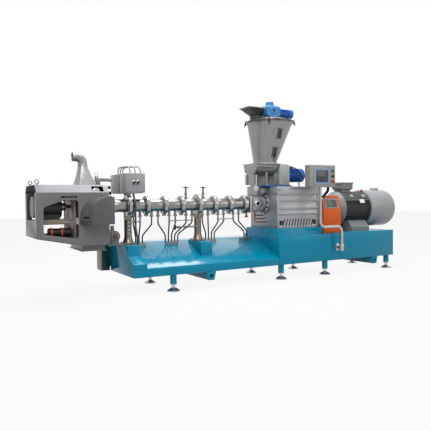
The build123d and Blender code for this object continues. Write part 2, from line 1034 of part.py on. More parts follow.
def coupling_guard():
    half = guard_width / 2
    arch = ThreePointArc((-half, motor_height), (0, motor_height + half), (half, motor_height))
    sides = Polyline(
        (half, motor_height), (half, drive_box_top),
        (-half, drive_box_top), (-half, motor_height),
    )
    return along_x(make_face([arch, sides]), gearbox_end, motor_shield_start)


def fins_x(start, end, y, z, root, tip, width, count):
    """Cooling fins standing out round a barrel along x."""
    fin = block((start, end), (-width / 2, width / 2), (root, tip))
    return [Pos(0, y, z) * Rot(full_turn * step / count, 0, 0) * fin for step in range(count)]


def main_motor_body():
    """Finned frame with its drive-end shield and its two feet, on a rail pad."""
    profile = outline(
        (motor_shield_start, 0),
        (motor_shield_start, motor_shield_nose_radius),
        (motor_body_start, motor_fin_radius),
        (motor_body_start, motor_core_radius),
        (motor_body_end, motor_core_radius),
        (motor_body_end, 0),
    )
    body = turned_x(profile, 0, motor_height)
    root = motor_core_radius - motor_fin_root
    body += fins_x(
        motor_body_start, motor_body_end, 0, motor_height,
        root, motor_fin_radius, motor_fin_width, motor_fin_count,
    )
    rail_top = drive_box_top + motor_rail_height
    for side in (-1, 1):
        foot = outline(
            (side * motor_foot_inner, drive_box_top),
            (side * motor_foot_reach, drive_box_top),
            (side * motor_foot_reach, rail_top + motor_foot_lip),
            (side * motor_foot_crown, motor_foot_top),
            (side * motor_foot_inner, motor_foot_top),
        )
        body += along_x(foot, motor_foot_start, motor_foot_end)
    return body


def main_motor_cowl():
    """Fan cowl with a rounded end, an intake of ring grooves and a round stub on top."""
    cowl = bar_x(motor_body_end, cowl_end, 0, motor_height, cowl_radius)
    cowl = fillet(cowl.edges().sort_by(Axis.X)[-1], cowl_rounding)
    for radius in cowl_groove_radii:
        ring = Circle(radius + cowl_groove_width / 2) - Circle(radius - cowl_groove_width / 2)
        groove = along_x(ring, cowl_end - cowl_groove_depth, cowl_end + cut_overrun)
        cowl -= Pos(0, 0, motor_height) * groove
    return cowl + bar_z(motor_height, cowl_stub_top, cowl_stub_x, 0, cowl_stub_radius)


def main_motor_terminal_box():
    middle = (terminal_start + terminal_end) / 2
    length, width = terminal_end - terminal_start, terminal_width
    taper = terminal_flare * 2
    narrow = Pos(middle, 0, motor_height) * Rectangle(length - taper, width - taper)
    neck_foot = Pos(0, 0, terminal_neck_top - motor_height - terminal_flare) * narrow
    mouth = Pos(middle, 0, terminal_neck_top) * Rectangle(length, width)
    neck = extrude(narrow, amount=terminal_neck_top - motor_height - terminal_flare, dir=(0, 0, 1))
    flare = loft([neck_foot, mouth])
    half = width / 2
    case = block((terminal_start, terminal_end), (-half, half), (terminal_neck_top, terminal_lid_bottom))
    lid = block(
        (terminal_start - terminal_lid_lip, terminal_end + terminal_lid_lip),
        (-half - terminal_lid_lip, half + terminal_lid_lip),
        (terminal_lid_bottom, terminal_top),
    )
    frame = bar_x(motor_body_start, motor_body_end, 0, motor_height, motor_fin_radius + seat_gap)
    return neck + flare + case + lid - frame


# Operator console

def console_screen_plane():
    """The middle of the leaning front, with local z pointing outward."""
    middle = (
        (console_start + console_end) / 2,
        console_front_y + console_lean / 2,
        (console_knee + console_top) / 2,
    )
    return Plane(origin=middle, x_dir=(1, 0, 0), z_dir=(0, console_knee - console_top, console_lean))


def console_screen():
    depth = console_screen_thickness
    plate = Box(console_screen_width, console_screen_height, depth)
    return console_screen_plane() * Pos(0, 0, depth / 2 - console_screen_recess) * plate


def console_body():
    section = outline(
        (console_front_y, drive_box_top),
        (console_front_y, console_knee),
        (console_front_y + console_lean, console_top),
        (console_back_y, console_top),
        (console_back_y, drive_box_top),
    )
    return along_x(section, console_start, console_end) - console_screen()


# Feeder

def trough_envelope():
    """The U-shaped trough without its flanges."""
    bottom = ThreePointArc(
        (-trough_radius, trough_axis_height),
        (0, trough_bottom),
        (trough_radius, trough_axis_height),
    )
    sides = Polyline(
        (trough_radius, trough_axis_height),
        (trough_radius, trough_top),
        (-trough_radius, trough_top),
        (-trough_radius, trough_axis_height),
    )
    return along_x(make_face([bottom, sides]), trough_start, trough_end)


def feeder_trough():
    """Closed screw trough with a top flange and a round end flange."""
    half = trough_flange_width / 2
    low = trough_top - trough_flange_thickness
    flange = block((trough_start, trough_end), (-half, half), (low, trough_top))
    end_radius = trough_radius + trough_end_lip
    end = bar_x(trough_start, trough_start + trough_end_flange, 0, trough_axis_height, end_radius)
    above = block(
        (trough_start - cut_overrun, trough_end + cut_overrun),
        (-half - cut_overrun, half + cut_overrun),
        (trough_top, trough_top + end_radius),
    )
    return trough_envelope() + flange + end - above


def feeder_stand():
    """Base plate on the gearbox lid with two saddles under the trough."""
    half = stand_width / 2
    stand = block((stand_start, stand_end), (-half, half), (gearbox_top, stand_top))
    reach = stand_saddle_width / 2
    for x in stand_saddle_places_x:
        length = (x - stand_saddle_length / 2, x + stand_saddle_length / 2)
        stand += block(length, (-reach, reach), (stand_top, stand_saddle_top))
    seat = bar_x(trough_start, trough_end, 0, trough_axis_height, trough_radius + seat_gap)
    return stand - seat


def feed_throat():
    """Drop tube from the trough to the feed block, with a small vent pot on a bar."""
    length = (throat_x - throat_block_length / 2, throat_x + throat_block_length / 2)
    half = throat_block_width / 2
    throat = block(length, (-half, half), (feed_block_top, throat_block_top))
    throat += bar_z(throat_block_top, trough_axis_height, throat_x, 0, throat_tube_radius) - feeder_trough()
    bar_length = math.hypot(throat_x - vent_pot_x, vent_pot_y)
    turn = math.degrees(math.atan2(-vent_pot_y, throat_x - vent_pot_x))
    bar = bar_x(0, bar_length, 0, 0, vent_bar_radius)
    throat += Pos(vent_pot_x, vent_pot_y, vent_bar_height) * Rot(0, 0, turn) * bar
    pot = bar_z(vent_pot_low, vent_pot_high, vent_pot_x, vent_pot_y, vent_pot_radius)
    lid_radius = vent_pot_radius + vent_pot_lip
    lid = bar_z(vent_pot_high, vent_pot_high + vent_pot_lid, vent_pot_x, vent_pot_y, lid_radius)
    return throat + pot + lid


def hopper_cone(shrink):
    """The oblique cone between the two hopper flanges, smaller all round by a wall."""
    low = Pos(hopper_bottom_x, 0, hopper_bottom) * Circle(hopper_bottom_radius - shrink)
    high = Pos(hopper_top_x, 0, hopper_top) * Circle(hopper_top_radius - shrink)
    return loft([low, high])


def hopper_shell():
    """Leaning cone of sheet with a seat flange below and a rim above."""
    shell = hopper_cone(0)
    flange_radius = hopper_bottom_radius + hopper_bottom_flange
    shell += bar_z(trough_top, hopper_bottom, hopper_bottom_x, 0, flange_radius)
    shell += bar_z(hopper_top, lid_seat, hopper_top_x, 0, hopper_top_radius + hopper_rim_lip)
    low_bore = bar_z(trough_top, hopper_bottom, hopper_bottom_x, 0, hopper_bottom_radius - hopper_wall)
    rim_bore = bar_z(hopper_top, lid_seat, hopper_top_x, 0, hopper_top_radius - hopper_wall)
    return shell - hopper_cone(hopper_wall) - low_bore - rim_bore


def hopper_windows():
    """Two framed sight windows, one over the other, laid on the cone."""
    windows = []
    turn = math.radians(window_turn)
    lean = math.degrees(math.atan2(hopper_top_radius - hopper_bottom_radius, hopper_top - hopper_bottom))
    for share in window_places_shares:
        height = hopper_bottom + (hopper_top - hopper_bottom) * share
        radius = hopper_bottom_radius + (hopper_top_radius - hopper_bottom_radius) * share
        centre_x = hopper_bottom_x + (hopper_top_x - hopper_bottom_x) * share
        place = Pos(centre_x + radius * math.cos(turn), radius * math.sin(turn), height)
        frame = Box(window_stand_off * 2, window_width, window_length)
        windows.append(place * Rot(0, 0, window_turn) * Rot(0, lean, 0) * frame - hopper_cone(0))
    return group(windows)


def lid_profile(top, rim_low, shrink):
    """Half of the lid's section: rim, sloping skirt and flat crown."""
    return outline(
        (0, rim_low),
        (lid_skirt_radius - shrink, rim_low),
        (lid_skirt_radius - shrink, lid_seat + lid_skirt_rise - shrink),
        (lid_neck_radius, top),
        (0, top),
    )


def lid_envelope():
    rim_radius = hopper_top_radius + hopper_rim_lip
    rim = bar_z(lid_seat, lid_seat + lid_rim_thickness, hopper_top_x, 0, rim_radius)
    return turned_z(lid_profile(lid_top, lid_seat, 0), hopper_top_x, 0) + rim


def hopper_lid():
    """Flat-topped cone of sheet with a hole below the inlet funnel."""
    inside = turned_z(lid_profile(lid_top - lid_wall, lid_seat - cut_overrun, lid_wall), hopper_top_x, 0)
    return lid_envelope() - inside - funnel_throat_block(funnel_throat - funnel_wall * 2)


def funnel_throat_block(size):
    square = Pos(funnel_x, funnel_y) * Rectangle(size, size)
    return along_z(square, lid_seat, funnel_knee)


def funnel_mouth_block(shrink):
    throat = Pos(funnel_x, funnel_y, funnel_knee) * Rectangle(funnel_throat - shrink, funnel_throat - shrink)
    mouth = Pos(funnel_top_x, funnel_y, funnel_top) * Rectangle(funnel_mouth - shrink, funnel_mouth - shrink)
    return loft([throat, mouth])


def inlet_funnel():
    """Square sheet funnel that stands on the slope of the lid."""
    shrink = funnel_wall * 2
    outside = funnel_throat_block(funnel_throat) + funnel_mouth_block(0)
    inside = funnel_throat_block(funnel_throat - shrink) + funnel_mouth_block(shrink)
    return outside - inside - lid_envelope()


def agitator_gearbox():
    """Right-angle gear case on a round flange, with a cap on top."""
    case_low = lid_top + agitator_flange_thickness
    middle = (agitator_start + agitator_end) / 2
    half = agitator_width / 2
    case = block((agitator_start, agitator_end), (-half, half), (case_low, agitator_body_top))
    case = chamfer(case.faces().sort_by(Axis.Z)[-1].edges(), agitator_bevel)
    flange = bar_z(lid_top, case_low, middle, 0, agitator_flange_radius)
    cap = bar_z(agitator_body_top, agitator_cap_top, middle, 0, agitator_cap_radius)
    cap = fillet(cap.edges().sort_by(Axis.Z)[-1], agitator_cap_rounding)
    return case + flange + cap


def small_motor(start, end, y, z, radius, fin_radius, flange, cowl):
    """A finned motor along x with a flange at its start and a fan cowl at its end."""
    body = bar_x(start, end, y, z, radius)
    body += bar_x(start, start + flange, y, z, fin_radius)
    body += bar_x(end - cowl, end, y, z, fin_radius)
    root = radius - small_fin_root
    return body + fins_x(start, end - cowl, y, z, root, fin_radius, small_fin_width, small_fin_count)


def agitator_motor():
    return small_motor(
        agitator_end, agitator_motor_end, 0, agitator_motor_height,
        agitator_motor_radius, agitator_motor_fin_radius, agitator_motor_flange, agitator_motor_cowl,
    )


def feeder_drive_box():
    half = drive_case_width / 2
    case = block((trough_end, drive_box_x_end), (-half, half), (stand_top, drive_case_top))
    return chamfer(case.faces().sort_by(Axis.Z)[-1].edges(), drive_case_bevel)


def feeder_motor():
    motor = small_motor(
        drive_box_x_end, feed_motor_end, 0, feed_motor_height,
        feed_motor_radius, feed_motor_fin_radius, feed_motor_flange, feed_motor_cowl,
    )
    start = drive_box_x_end + feed_motor_flange
    half = feed_motor_box_width / 2
    length = (start, start + feed_motor_box_length)
    return motor + block(length, (-half, half), (feed_motor_height, feed_motor_box_top))


def feed_motor_lead():
    """A lead from the motor's terminal box round its side to the gearbox lid."""
    face_y = -feed_motor_box_width / 2
    lead_y = face_y - feed_lead_stand_off
    start_z = feed_motor_box_top - feed_lead_start_drop
    route = [
        (feed_lead_start_x, face_y, start_z),
        (feed_lead_start_x, lead_y, start_z),
        (feed_lead_far_x, lead_y, feed_motor_height - feed_lead_far_drop),
        (feed_lead_foot_x, lead_y, gearbox_top + feed_lead_ankle_rise),
        (feed_lead_foot_x, lead_y, gearbox_top),
    ]
    return tube(route, feed_lead_radius, feed_lead_bend)


# Control box

def control_boxes():
    """Switch box and junction box joined by a neck, on a plate saddled over the support clamp."""
    neck_y = control_front_y + control_front_depth
    rear_y = neck_y + control_neck_depth
    back_y = rear_y + control_rear_depth
    lengths, heights = (control_start, control_end), (control_bottom, control_top)
    boxes = block(lengths, (control_front_y, neck_y), heights)
    boxes += block(
        (control_start + control_neck_inset, control_end - control_neck_inset),
        (neck_y, rear_y),
        (control_bottom, control_top - control_neck_inset),
    )
    boxes += block(lengths, (rear_y, back_y), heights)
    plate_low = control_bottom - control_plate_thickness
    margin = control_plate_margin
    boxes += block(
        (control_start + margin, control_end - margin),
        (control_front_y + margin, back_y - margin),
        (plate_low, control_bottom),
    )
    x, reach = support_places_x[0], support_clamp_width / 2
    half = control_saddle_width / 2
    saddle_low = barrel_height + support_clamp_radius - control_saddle_drop
    saddle = block((x - reach, x + reach), (-half, half), (saddle_low, plate_low))
    return boxes + (saddle - support_clamp_seat(x))


def control_knobs():
    knobs = []
    for x in knob_places_x:
        face = control_front_y - knob_depth
        knob = bar_y(face, control_front_y, x, knob_height, knob_radius)
        grip = block(
            (x - knob_grip_width / 2, x + knob_grip_width / 2),
            (face - knob_grip_depth, face),
            (knob_height - knob_grip_length / 2, knob_height + knob_grip_length / 2),
        )
        knobs.append(knob + grip)
    return group(knobs)


def control_conduits():
    """Conduit bows over the two boxes, one conduit down to the pedestal, and the feeder motor's lead."""
    conduits = []
    high = control_top + conduit_rise
    for step in range(conduit_count):
        start_x = conduit_start_x + conduit_start_pitch * step
        end_x = conduit_end_x + conduit_end_pitch * step
        route = [
            (start_x, conduit_start_y, control_top),
            (start_x, conduit_start_y, high),
            (end_x, conduit_end_y, high),
            (end_x, conduit_end_y, control_top),
        ]
        conduits.append(tube(route, conduit_radius, conduit_bend))
    drop = [
        (drop_conduit_x, drop_conduit_y, control_bottom - control_plate_thickness),
        (drop_conduit_x, drop_conduit_y, drop_conduit_shoulder),
        (drop_conduit_x, drop_conduit_side_y, drop_conduit_elbow),
        (drop_conduit_x, drop_conduit_side_y, drop_conduit_knee),
        (drop_conduit_x, drop_conduit_foot_y, drop_conduit_ankle),
        (drop_conduit_x, drop_conduit_foot_y, deck_ridge_height),
    ]
    conduits.append(tube(drop, drop_conduit_radius, drop_conduit_bend))
    return group(conduits + [feed_motor_lead()])


# Valves, hoses and small pipes

def valve_bodies():
    bodies = []
    barrel = bar_x(barrel_start, feed_block_start, 0, barrel_height, barrel_radius + seat_gap)
    profile = outline(
        (0, barrel_height),
        (valve_base_radius, barrel_height),
        (valve_base_radius, valve_base_top),
        (valve_body_radius, valve_base_top),
        (valve_body_radius, valve_nut_low),
        (valve_nut_radius, valve_nut_low),
        (valve_nut_radius, valve_nut_high),
        (valve_body_radius, valve_nut_high),
        (valve_body_radius, valve_shoulder),
        (valve_stem_radius, valve_shoulder),
        (valve_stem_radius, valve_stem_top),
        (0, valve_stem_top),
    )
    for x in valve_places_x:
        bodies.append(turned_z(profile, x, 0) - barrel)
    return group(bodies + [hand_valve()])


def hand_valve():
    """A pipe from the middle column with nuts along it and a small wheel at its end."""
    column_x, y, height = support_places_x[1], hand_valve_y, deck_ridge_height + hand_valve_rise
    valve = bar_x(hand_valve_x, column_x, y, height, hand_pipe_radius)
    for share in hand_nut_places_shares:
        start = hand_valve_x + (column_x - hand_valve_x) * share
        valve += bar_x(start, start + hand_nut_length, y, height, hand_nut_radius)
    valve += bar_x(hand_valve_x - hand_wheel_thickness, hand_valve_x, y, height, hand_wheel_radius)
    return valve - bar_z(deck_ridge_height, barrel_height, column_x, 0, column_radius + seat_gap)


def valve_handle(x):
    """A two-winged handle that turns on the valve stem."""
    low = valve_shoulder + thrust_gap
    hub = bar_z(low, low + handle_hub_height, x, 0, handle_hub_radius)
    wings = Pos(x, 0) * SlotOverall(handle_length, handle_width)
    middle = low + (handle_hub_height - handle_thickness) / 2
    bore = bar_z(low - cut_overrun, valve_stem_top + cut_overrun, x, 0, valve_stem_radius + running_fit)
    return hub + along_z(wings, middle, middle + handle_thickness) - bore


def connector_low():
    return barrel_height - barrel_radius - connector_drop


def hose_starts_x():
    """Two hoses under each cooking section but the first."""
    return [x + clamp_pitch * share for x in clamp_places_x[:-1] for share in hose_start_shares]


def gland_top():
    return deck_height(gland_far_y) + gland_rise


def hose_landings():
    """Pairs each hose's start with its place on the nearest gland box."""
    landings, taken = [], {}
    for start in hose_starts_x():
        gland = min(gland_places_x, key=lambda place: abs(place - start))
        taken[gland] = taken.get(gland, []) + [start]
    for gland, starts in taken.items():
        first = gland - hose_land_pitch * (len(starts) - 1) / 2
        landings += [(start, first + hose_land_pitch * step) for step, start in enumerate(starts)]
    return landings


def hose_fittings():
    """Connectors under the barrel and gland boxes on the deck."""
    fittings = []
    barrel = bar_x(barrel_start, feed_block_start, 0, barrel_height, barrel_radius + seat_gap)
    low = connector_low()
    for x in hose_starts_x():
        nipple = bar_z(low, barrel_height, x, 0, connector_radius) - barrel
        fittings.append(nipple + bar_z(low, low + connector_nut_height, x, 0, connector_nut_radius))
    section = outline(
        (gland_near_y, deck_height(gland_near_y)),
        (gland_near_y, gland_top()),
        (gland_far_y, gland_top()),
        (gland_far_y, deck_height(gland_far_y)),
    )
    for x in gland_places_x:
        fittings.append(along_x(section, x - gland_length / 2, x + gland_length / 2))
    return group(fittings)


def barrel_hoses():
    hoses = []
    high, low = connector_low(), gland_top()
    bend = min(hose_bend, (high - low) * hose_bend_limit_share)
    land_y = (gland_near_y + gland_far_y) / 2
    for start, end in hose_landings():
        route = [
            (start, 0, high),
            (start, 0, high + (low - high) * hose_knee_share),
            (end, land_y, high + (low - high) * hose_ankle_share),
            (end, land_y, low),
        ]
        hoses.append(tube(route, hose_radius, bend))
    return group(hoses)


def oil_pipes():
    """Copper pipes from the gearbox end up to the feed block's underside, and a brass cock beside them."""
    pipes = []
    under = barrel_height - feed_block_size / 2
    for y, height, x in zip(oil_pipe_places_y, oil_pipe_heights, oil_pipe_rise_x):
        route = [(gearbox_start, y, height), (x, y, height), (x, y, under)]
        pipes.append(tube(route, oil_pipe_radius, oil_pipe_bend))
    cock_low = feed_flange_low() - brass_drop
    cock = bar_z(cock_low, feed_flange_low(), brass_x, 0, brass_radius)
    cock += bar_z(cock_low - brass_stem_drop, cock_low, brass_x, 0, brass_stem_radius)
    return group(pipes + [cock])


def die_pump():
    """Small round gear pump on a plate that overhangs the pedestal."""
    plate = block(
        (pump_plate_start, pump_plate_end),
        (pump_plate_front_y, pump_plate_back_y),
        (deck_ridge_height, pump_seat),
    )
    half = pump_foot_width / 2
    foot = block((pump_x - half, pump_x + half), (pump_front_y, pump_back_y), (pump_seat, pump_height))
    pump = bar_y(pump_front_y, pump_back_y, pump_x, pump_height, pump_radius)
    cover_y = pump_front_y - pump_cover_depth
    pump += bar_y(cover_y, pump_front_y, pump_x, pump_height, pump_cover_radius)
    pump += bar_y(cover_y - pump_hub_depth, cover_y, pump_x, pump_height, pump_hub_radius)
    cap = bar_z(pump_height, pump_cap_top, pump_x, 0, pump_cap_radius)
    return plate + foot + pump + cap


# Operator panel

def hmi_pivot():
    """Round flange on the base front with a stub that carries an upright sleeve."""
    height = (pivot_sleeve_low + pivot_sleeve_high) / 2
    flange_y = -half_base - pivot_flange_thickness
    pivot = bar_y(flange_y, -half_base, arm_pivot_x, height, pivot_flange_radius)
    pivot += bar_y(arm_pivot_y, flange_y, arm_pivot_x, height, pivot_stub_radius)
    pivot += bar_z(pivot_sleeve_low, pivot_sleeve_high, arm_pivot_x, arm_pivot_y, pivot_sleeve_radius)
    bore = bar_z(
        pivot_sleeve_low - cut_overrun, pivot_sleeve_high + cut_overrun,
        arm_pivot_x, arm_pivot_y, arm_radius + running_fit,
    )
    return pivot - bore


def hmi_arm():
    """Bent pipe with a collar that rests on the pivot sleeve, and a conduit from the panel into the pipe."""
    route = [
        (arm_pivot_x, arm_pivot_y, arm_bottom),
        (arm_pivot_x, arm_pivot_y, arm_cross_height),
        (arm_pole_x, arm_pivot_y, arm_cross_height),
        (arm_pole_x, arm_pivot_y, panel_bottom),
    ]
    low = pivot_sleeve_high + thrust_gap
    collar = bar_z(low, low + arm_collar_height, arm_pivot_x, arm_pivot_y, arm_collar_radius)
    conduit_x = arm_pole_x + panel_conduit_offset
    conduit = tube(
        [
            (conduit_x, arm_pivot_y, panel_bottom),
            (conduit_x, arm_pivot_y, panel_bottom - panel_conduit_straight),
            (arm_pole_x, arm_pivot_y, panel_bottom - panel_conduit_drop),
        ],
        panel_conduit_radius, panel_conduit_bend,
    )
    pole = bar_z(arm_cross_height, panel_bottom, arm_pole_x, arm_pivot_y, arm_radius + seat_gap)
    return group([tube(route, arm_radius, arm_bend) + collar, conduit - pole])


def panel_front_y():
    return arm_pivot_y - panel_depth / 2


def panel_middle_height():
    return (panel_bottom + panel_top) / 2


def hmi_panel():
    half = panel_width / 2
    front = panel_front_y()
    width = (arm_pole_x - half, arm_pole_x + half)
    case = block(width, (front, front + panel_depth), (panel_bottom, panel_top))
    return fillet(case.edges().filter_by(Axis.Y), panel_rounding)


def hmi_screen():
    """Bezel plate on the panel's front with the display standing a little proud."""
    x, z, front = arm_pole_x + bezel_shift, panel_middle_height(), panel_front_y()
    bezel_y = front - bezel_thickness
    bezel = block(
        (x - bezel_width / 2, x + bezel_width / 2),
        (bezel_y, front),
        (z - bezel_height / 2, z + bezel_height / 2),
    )
    display = block(
        (x - screen_width / 2, x + screen_width / 2),
        (bezel_y - screen_rise, bezel_y),
        (z - screen_height / 2, z + screen_height / 2),
    )
    return bezel + display


def hmi_buttons():
    x, front = arm_pole_x + panel_width / 2 - button_inset, panel_front_y()
    buttons = []
    for step, radius in ((1, button_radius), (0, button_radius), (-1, stop_button_radius)):
        height = panel_middle_height() + button_pitch * step
        buttons.append(bar_y(front - button_depth, front, x, height, radius))
    return group(buttons)


# Cutter housing

def cutter_side_outline():
    """The housing's side in (x, z): level roof line, bottom that rises toward the open end."""
    return outline(
        (cutter_start, cutter_bottom_start),
        (cutter_start, cutter_shoulder),
        (cutter_end, cutter_shoulder),
        (cutter_end, cutter_bottom),
        (cutter_keel_x, cutter_bottom),
    )


def cutter_window_outline():
    window = outline(
        (cutter_window_left, cutter_window_bottom_left),
        (cutter_window_left, cutter_window_top_left),
        (cutter_window_crown_x, cutter_window_top),
        (cutter_window_right, cutter_window_top),
        (cutter_window_right, cutter_window_bottom_right),
    )
    return fillet(window.vertices(), cutter_window_corner)


def cutter_front_panel():
    panel = along_y(cutter_side_outline(), -half_cutter, -half_cutter + cutter_sheet)
    reach = (-half_cutter - cut_overrun, -half_cutter + cutter_sheet + cut_overrun)
    slot = block((cutter_slot_left, cutter_slot_right), reach, (cutter_slot_low, cutter_slot_high))
    return panel - along_y(cutter_window_outline(), *reach) - slot


def cutter_rear_panel():
    panel = along_y(cutter_side_outline(), half_cutter - cutter_sheet, half_cutter)
    reach = (half_cutter - cutter_sheet - cut_overrun, half_cutter + cut_overrun)
    return panel - along_y(cutter_window_outline(), *reach)


def roof_band(shrink, low):
    """The roof's section in (y, z), smaller all round by a sheet."""
    return outline(
        (-half_cutter + shrink, low),
        (-half_cutter + shrink, cutter_shoulder),
        (-cutter_top_width / 2, cutter_top - shrink),
        (cutter_top_width / 2, cutter_top - shrink),
        (half_cutter - shrink, cutter_shoulder),
        (half_cutter - shrink, low),
    )


def lifting_eye(x, y):
    neck = bar_z(cutter_top, cutter_top + eye_neck_height, x, y, eye_neck_radius)
    centre = cutter_top + eye_neck_height + eye_radius
    ring = Pos(x, y, centre) * Rot(quarter_turn, 0, 0) * Torus(eye_radius, eye_wire_radius)
    return neck + ring


def cutter_roof():
    """Bent roof sheet with an opening in its front slope and two lifting eyes."""
    outer = along_x(roof_band(0, cutter_shoulder - cut_overrun), cutter_start, cutter_end)
    inner = along_x(roof_band(cutter_sheet, cutter_shoulder - cut_overrun), cutter_start, cutter_end)
    below = block(
        (cutter_start - cut_overrun, cutter_end + cut_overrun),
        (-half_cutter - cut_overrun, half_cutter + cut_overrun),
        (cutter_bottom, cutter_shoulder),
    )
    rise = cutter_top - cutter_shoulder
    opening = block(
        (roof_opening_left, roof_opening_right),
        (-half_cutter - cut_overrun, -cutter_top_width / 2),
        (cutter_shoulder + rise * roof_opening_low_share, cutter_shoulder + rise * roof_opening_high_share),
    )
    steam_hole = along_z(exhaust_base_outline(exhaust_wall), cutter_shoulder, cutter_top + cut_overrun)
    roof = outer - inner - below - opening - steam_hole
    for side in (-1, 1):
        roof += lifting_eye(cutter_start + eye_inset, side * eye_spread / 2)
    return roof


def cutter_floor():
    """Bottom sheet, bent at the keel, with the discharge chute's collar welded under it."""
    inner = half_cutter - cutter_sheet
    band = outline(
        (cutter_start, cutter_bottom_start),
        (cutter_start, cutter_bottom_start + cutter_sheet),
        (cutter_keel_x, cutter_bottom + cutter_sheet),
        (cutter_end, cutter_bottom + cutter_sheet),
        (cutter_end, cutter_bottom),
        (cutter_keel_x, cutter_bottom),
    )
    floor = along_y(band, -inner, inner)
    half = chute_width / 2
    lengths, widths = (chute_start, chute_end), (-half, half)
    floor += block(lengths, widths, (chute_bottom, cutter_bottom))
    floor += block(
        (chute_start - chute_lip, chute_end + chute_lip),
        (-half - chute_lip, half + chute_lip),
        (chute_bottom, chute_bottom + chute_lip_thickness),
    )
    hollow = block(
        (chute_start + cutter_sheet, chute_end - cutter_sheet),
        (-half + cutter_sheet, half - cutter_sheet),
        (chute_bottom - cut_overrun, cutter_bottom + cutter_sheet + cut_overrun),
    )
    return floor - hollow


def cutter_end_plates():
    """Open frame at the far end and, at the die, a wall with a round window."""
    inner = half_cutter - cutter_sheet
    low = cutter_bottom_start + cutter_sheet
    frame_start = cutter_start
    gable = outline(
        (-inner, low),
        (-inner, cutter_shoulder),
        (inner, cutter_shoulder),
        (inner, low),
    )
    frame = along_x(gable, frame_start, frame_start + cutter_sheet)
    opening = outline(
        (-end_opening_width / 2, end_opening_low),
        (-end_opening_width / 2, cutter_shoulder + cut_overrun),
        (end_opening_width / 2, cutter_shoulder + cut_overrun),
        (end_opening_width / 2, end_opening_low),
    )
    frame -= along_x(opening, frame_start - cut_overrun, frame_start + cut_overrun)
    wall_low = cutter_bottom + cutter_sheet
    wall = block((cutter_end - cutter_sheet, cutter_end), (-inner, inner), (wall_low, cutter_shoulder))
    wall -= bar_x(cutter_end - cut_overrun, cutter_end + cut_overrun, 0, barrel_height, die_window_radius)
    return group([frame, wall])


def hood_outline(left, right, low, high):
    """A quarter-round guard's face in (x, z): round at its upper left."""
    reach = min(right - left, high - low) * hood_round_share
    middle = reach * (1 - math.sqrt(0.5))
    crown = ThreePointArc((left, high - reach), (left + middle, high - middle), (left + reach, high))
    sides = Polyline((left + reach, high), (right, high), (right, low), (left, low), (left, high - reach))
    return make_face([crown, sides])


def hood_solid(shrink, front_y):
    right, low, high = cutter_end - shrink, hood_low + shrink, hood_high - shrink
    back = hood_outline(hood_back_left + shrink, right, low, high)
    front = hood_outline(hood_front_left + shrink, right, low, high)
    back_plane = Plane(origin=(0, -half_cutter, 0), x_dir=(1, 0, 0), z_dir=(0, -1, 0))
    front_plane = Plane(origin=(0, front_y, 0), x_dir=(1, 0, 0), z_dir=(0, -1, 0))
    return loft([back_plane * back, front_plane * front])


def cutter_hood():
    """Sheet guard over the knives, tapering outward, with a grip slot in its round side."""
    hood = hood_solid(0, hood_front_y) - hood_solid(hood_wall, hood_front_y + hood_wall)
    middle_y = (hood_front_y - half_cutter) / 2
    slot = block(
        (hood_back_left - cut_overrun, hood_front_left + cut_overrun),
        (middle_y - hood_slot_length / 2, middle_y + hood_slot_length / 2),
        (hood_low + hood_slot_rise, hood_low + hood_slot_rise + hood_slot_height),
    )
    return hood - slot


def exhaust_base_outline(shrink):
    length, width = exhaust_base_length - shrink * 2, exhaust_base_width - shrink * 2
    return Pos(exhaust_x, 0) * RectangleRounded(length, width, exhaust_corner)


def exhaust_cone(shrink):
    base = Pos(0, 0, cutter_top) * exhaust_base_outline(shrink)
    neck = Pos(exhaust_neck_x, 0, exhaust_neck_height) * Circle(exhaust_neck_radius - shrink)
    return loft([base, neck])


def exhaust_pipe(radius):
    route = [
        (exhaust_neck_x, 0, exhaust_neck_height),
        (exhaust_neck_x, 0, exhaust_neck_height + exhaust_rise),
        (exhaust_mouth_x, 0, exhaust_neck_height + exhaust_rise),
    ]
    return tube(route, radius, exhaust_bend)


def exhaust_duct():
    """Sheet transition from the roof to a round neck, with an elbow."""
    outside = exhaust_cone(0) + exhaust_pipe(exhaust_neck_radius)
    return outside - exhaust_cone(exhaust_wall) - exhaust_pipe(exhaust_neck_radius - exhaust_wall)


def roof_cylinder():
    """Clamping cylinder that lies over the roof on a bracket."""
    height, y = roof_cylinder_height, roof_cylinder_y
    body = bar_x(roof_cylinder_start, roof_cylinder_end, y, height, roof_cylinder_radius)
    half = roof_cylinder_cap_size / 2
    for start in (roof_cylinder_start, roof_cylinder_end - roof_cylinder_cap_width):
        ends = (start, start + roof_cylinder_cap_width)
        body += block(ends, (y - half, y + half), (height - half, height + half))
    reach = roof_bracket_width / 2
    return body + block((roof_bracket_start, roof_bracket_end), (y - reach, y + reach), (cutter_top, height))


# Cutter drive

def cutter_motor():
    motor = small_motor(
        cutter_motor_start, cutter_motor_end, 0, barrel_height,
        cutter_motor_radius, cutter_motor_fin_radius, cutter_motor_cowl, cutter_motor_flange,
    )
    flange_start = cutter_motor_end - cutter_motor_flange
    motor += bar_x(flange_start, cutter_motor_end, 0, barrel_height, cutter_motor_flange_radius)
    half = motor_pad_width / 2
    pad_start = cutter_motor_start + cutter_motor_cowl
    return motor + block((pad_start, flange_start), (-half, half), (carriage_top, barrel_height))


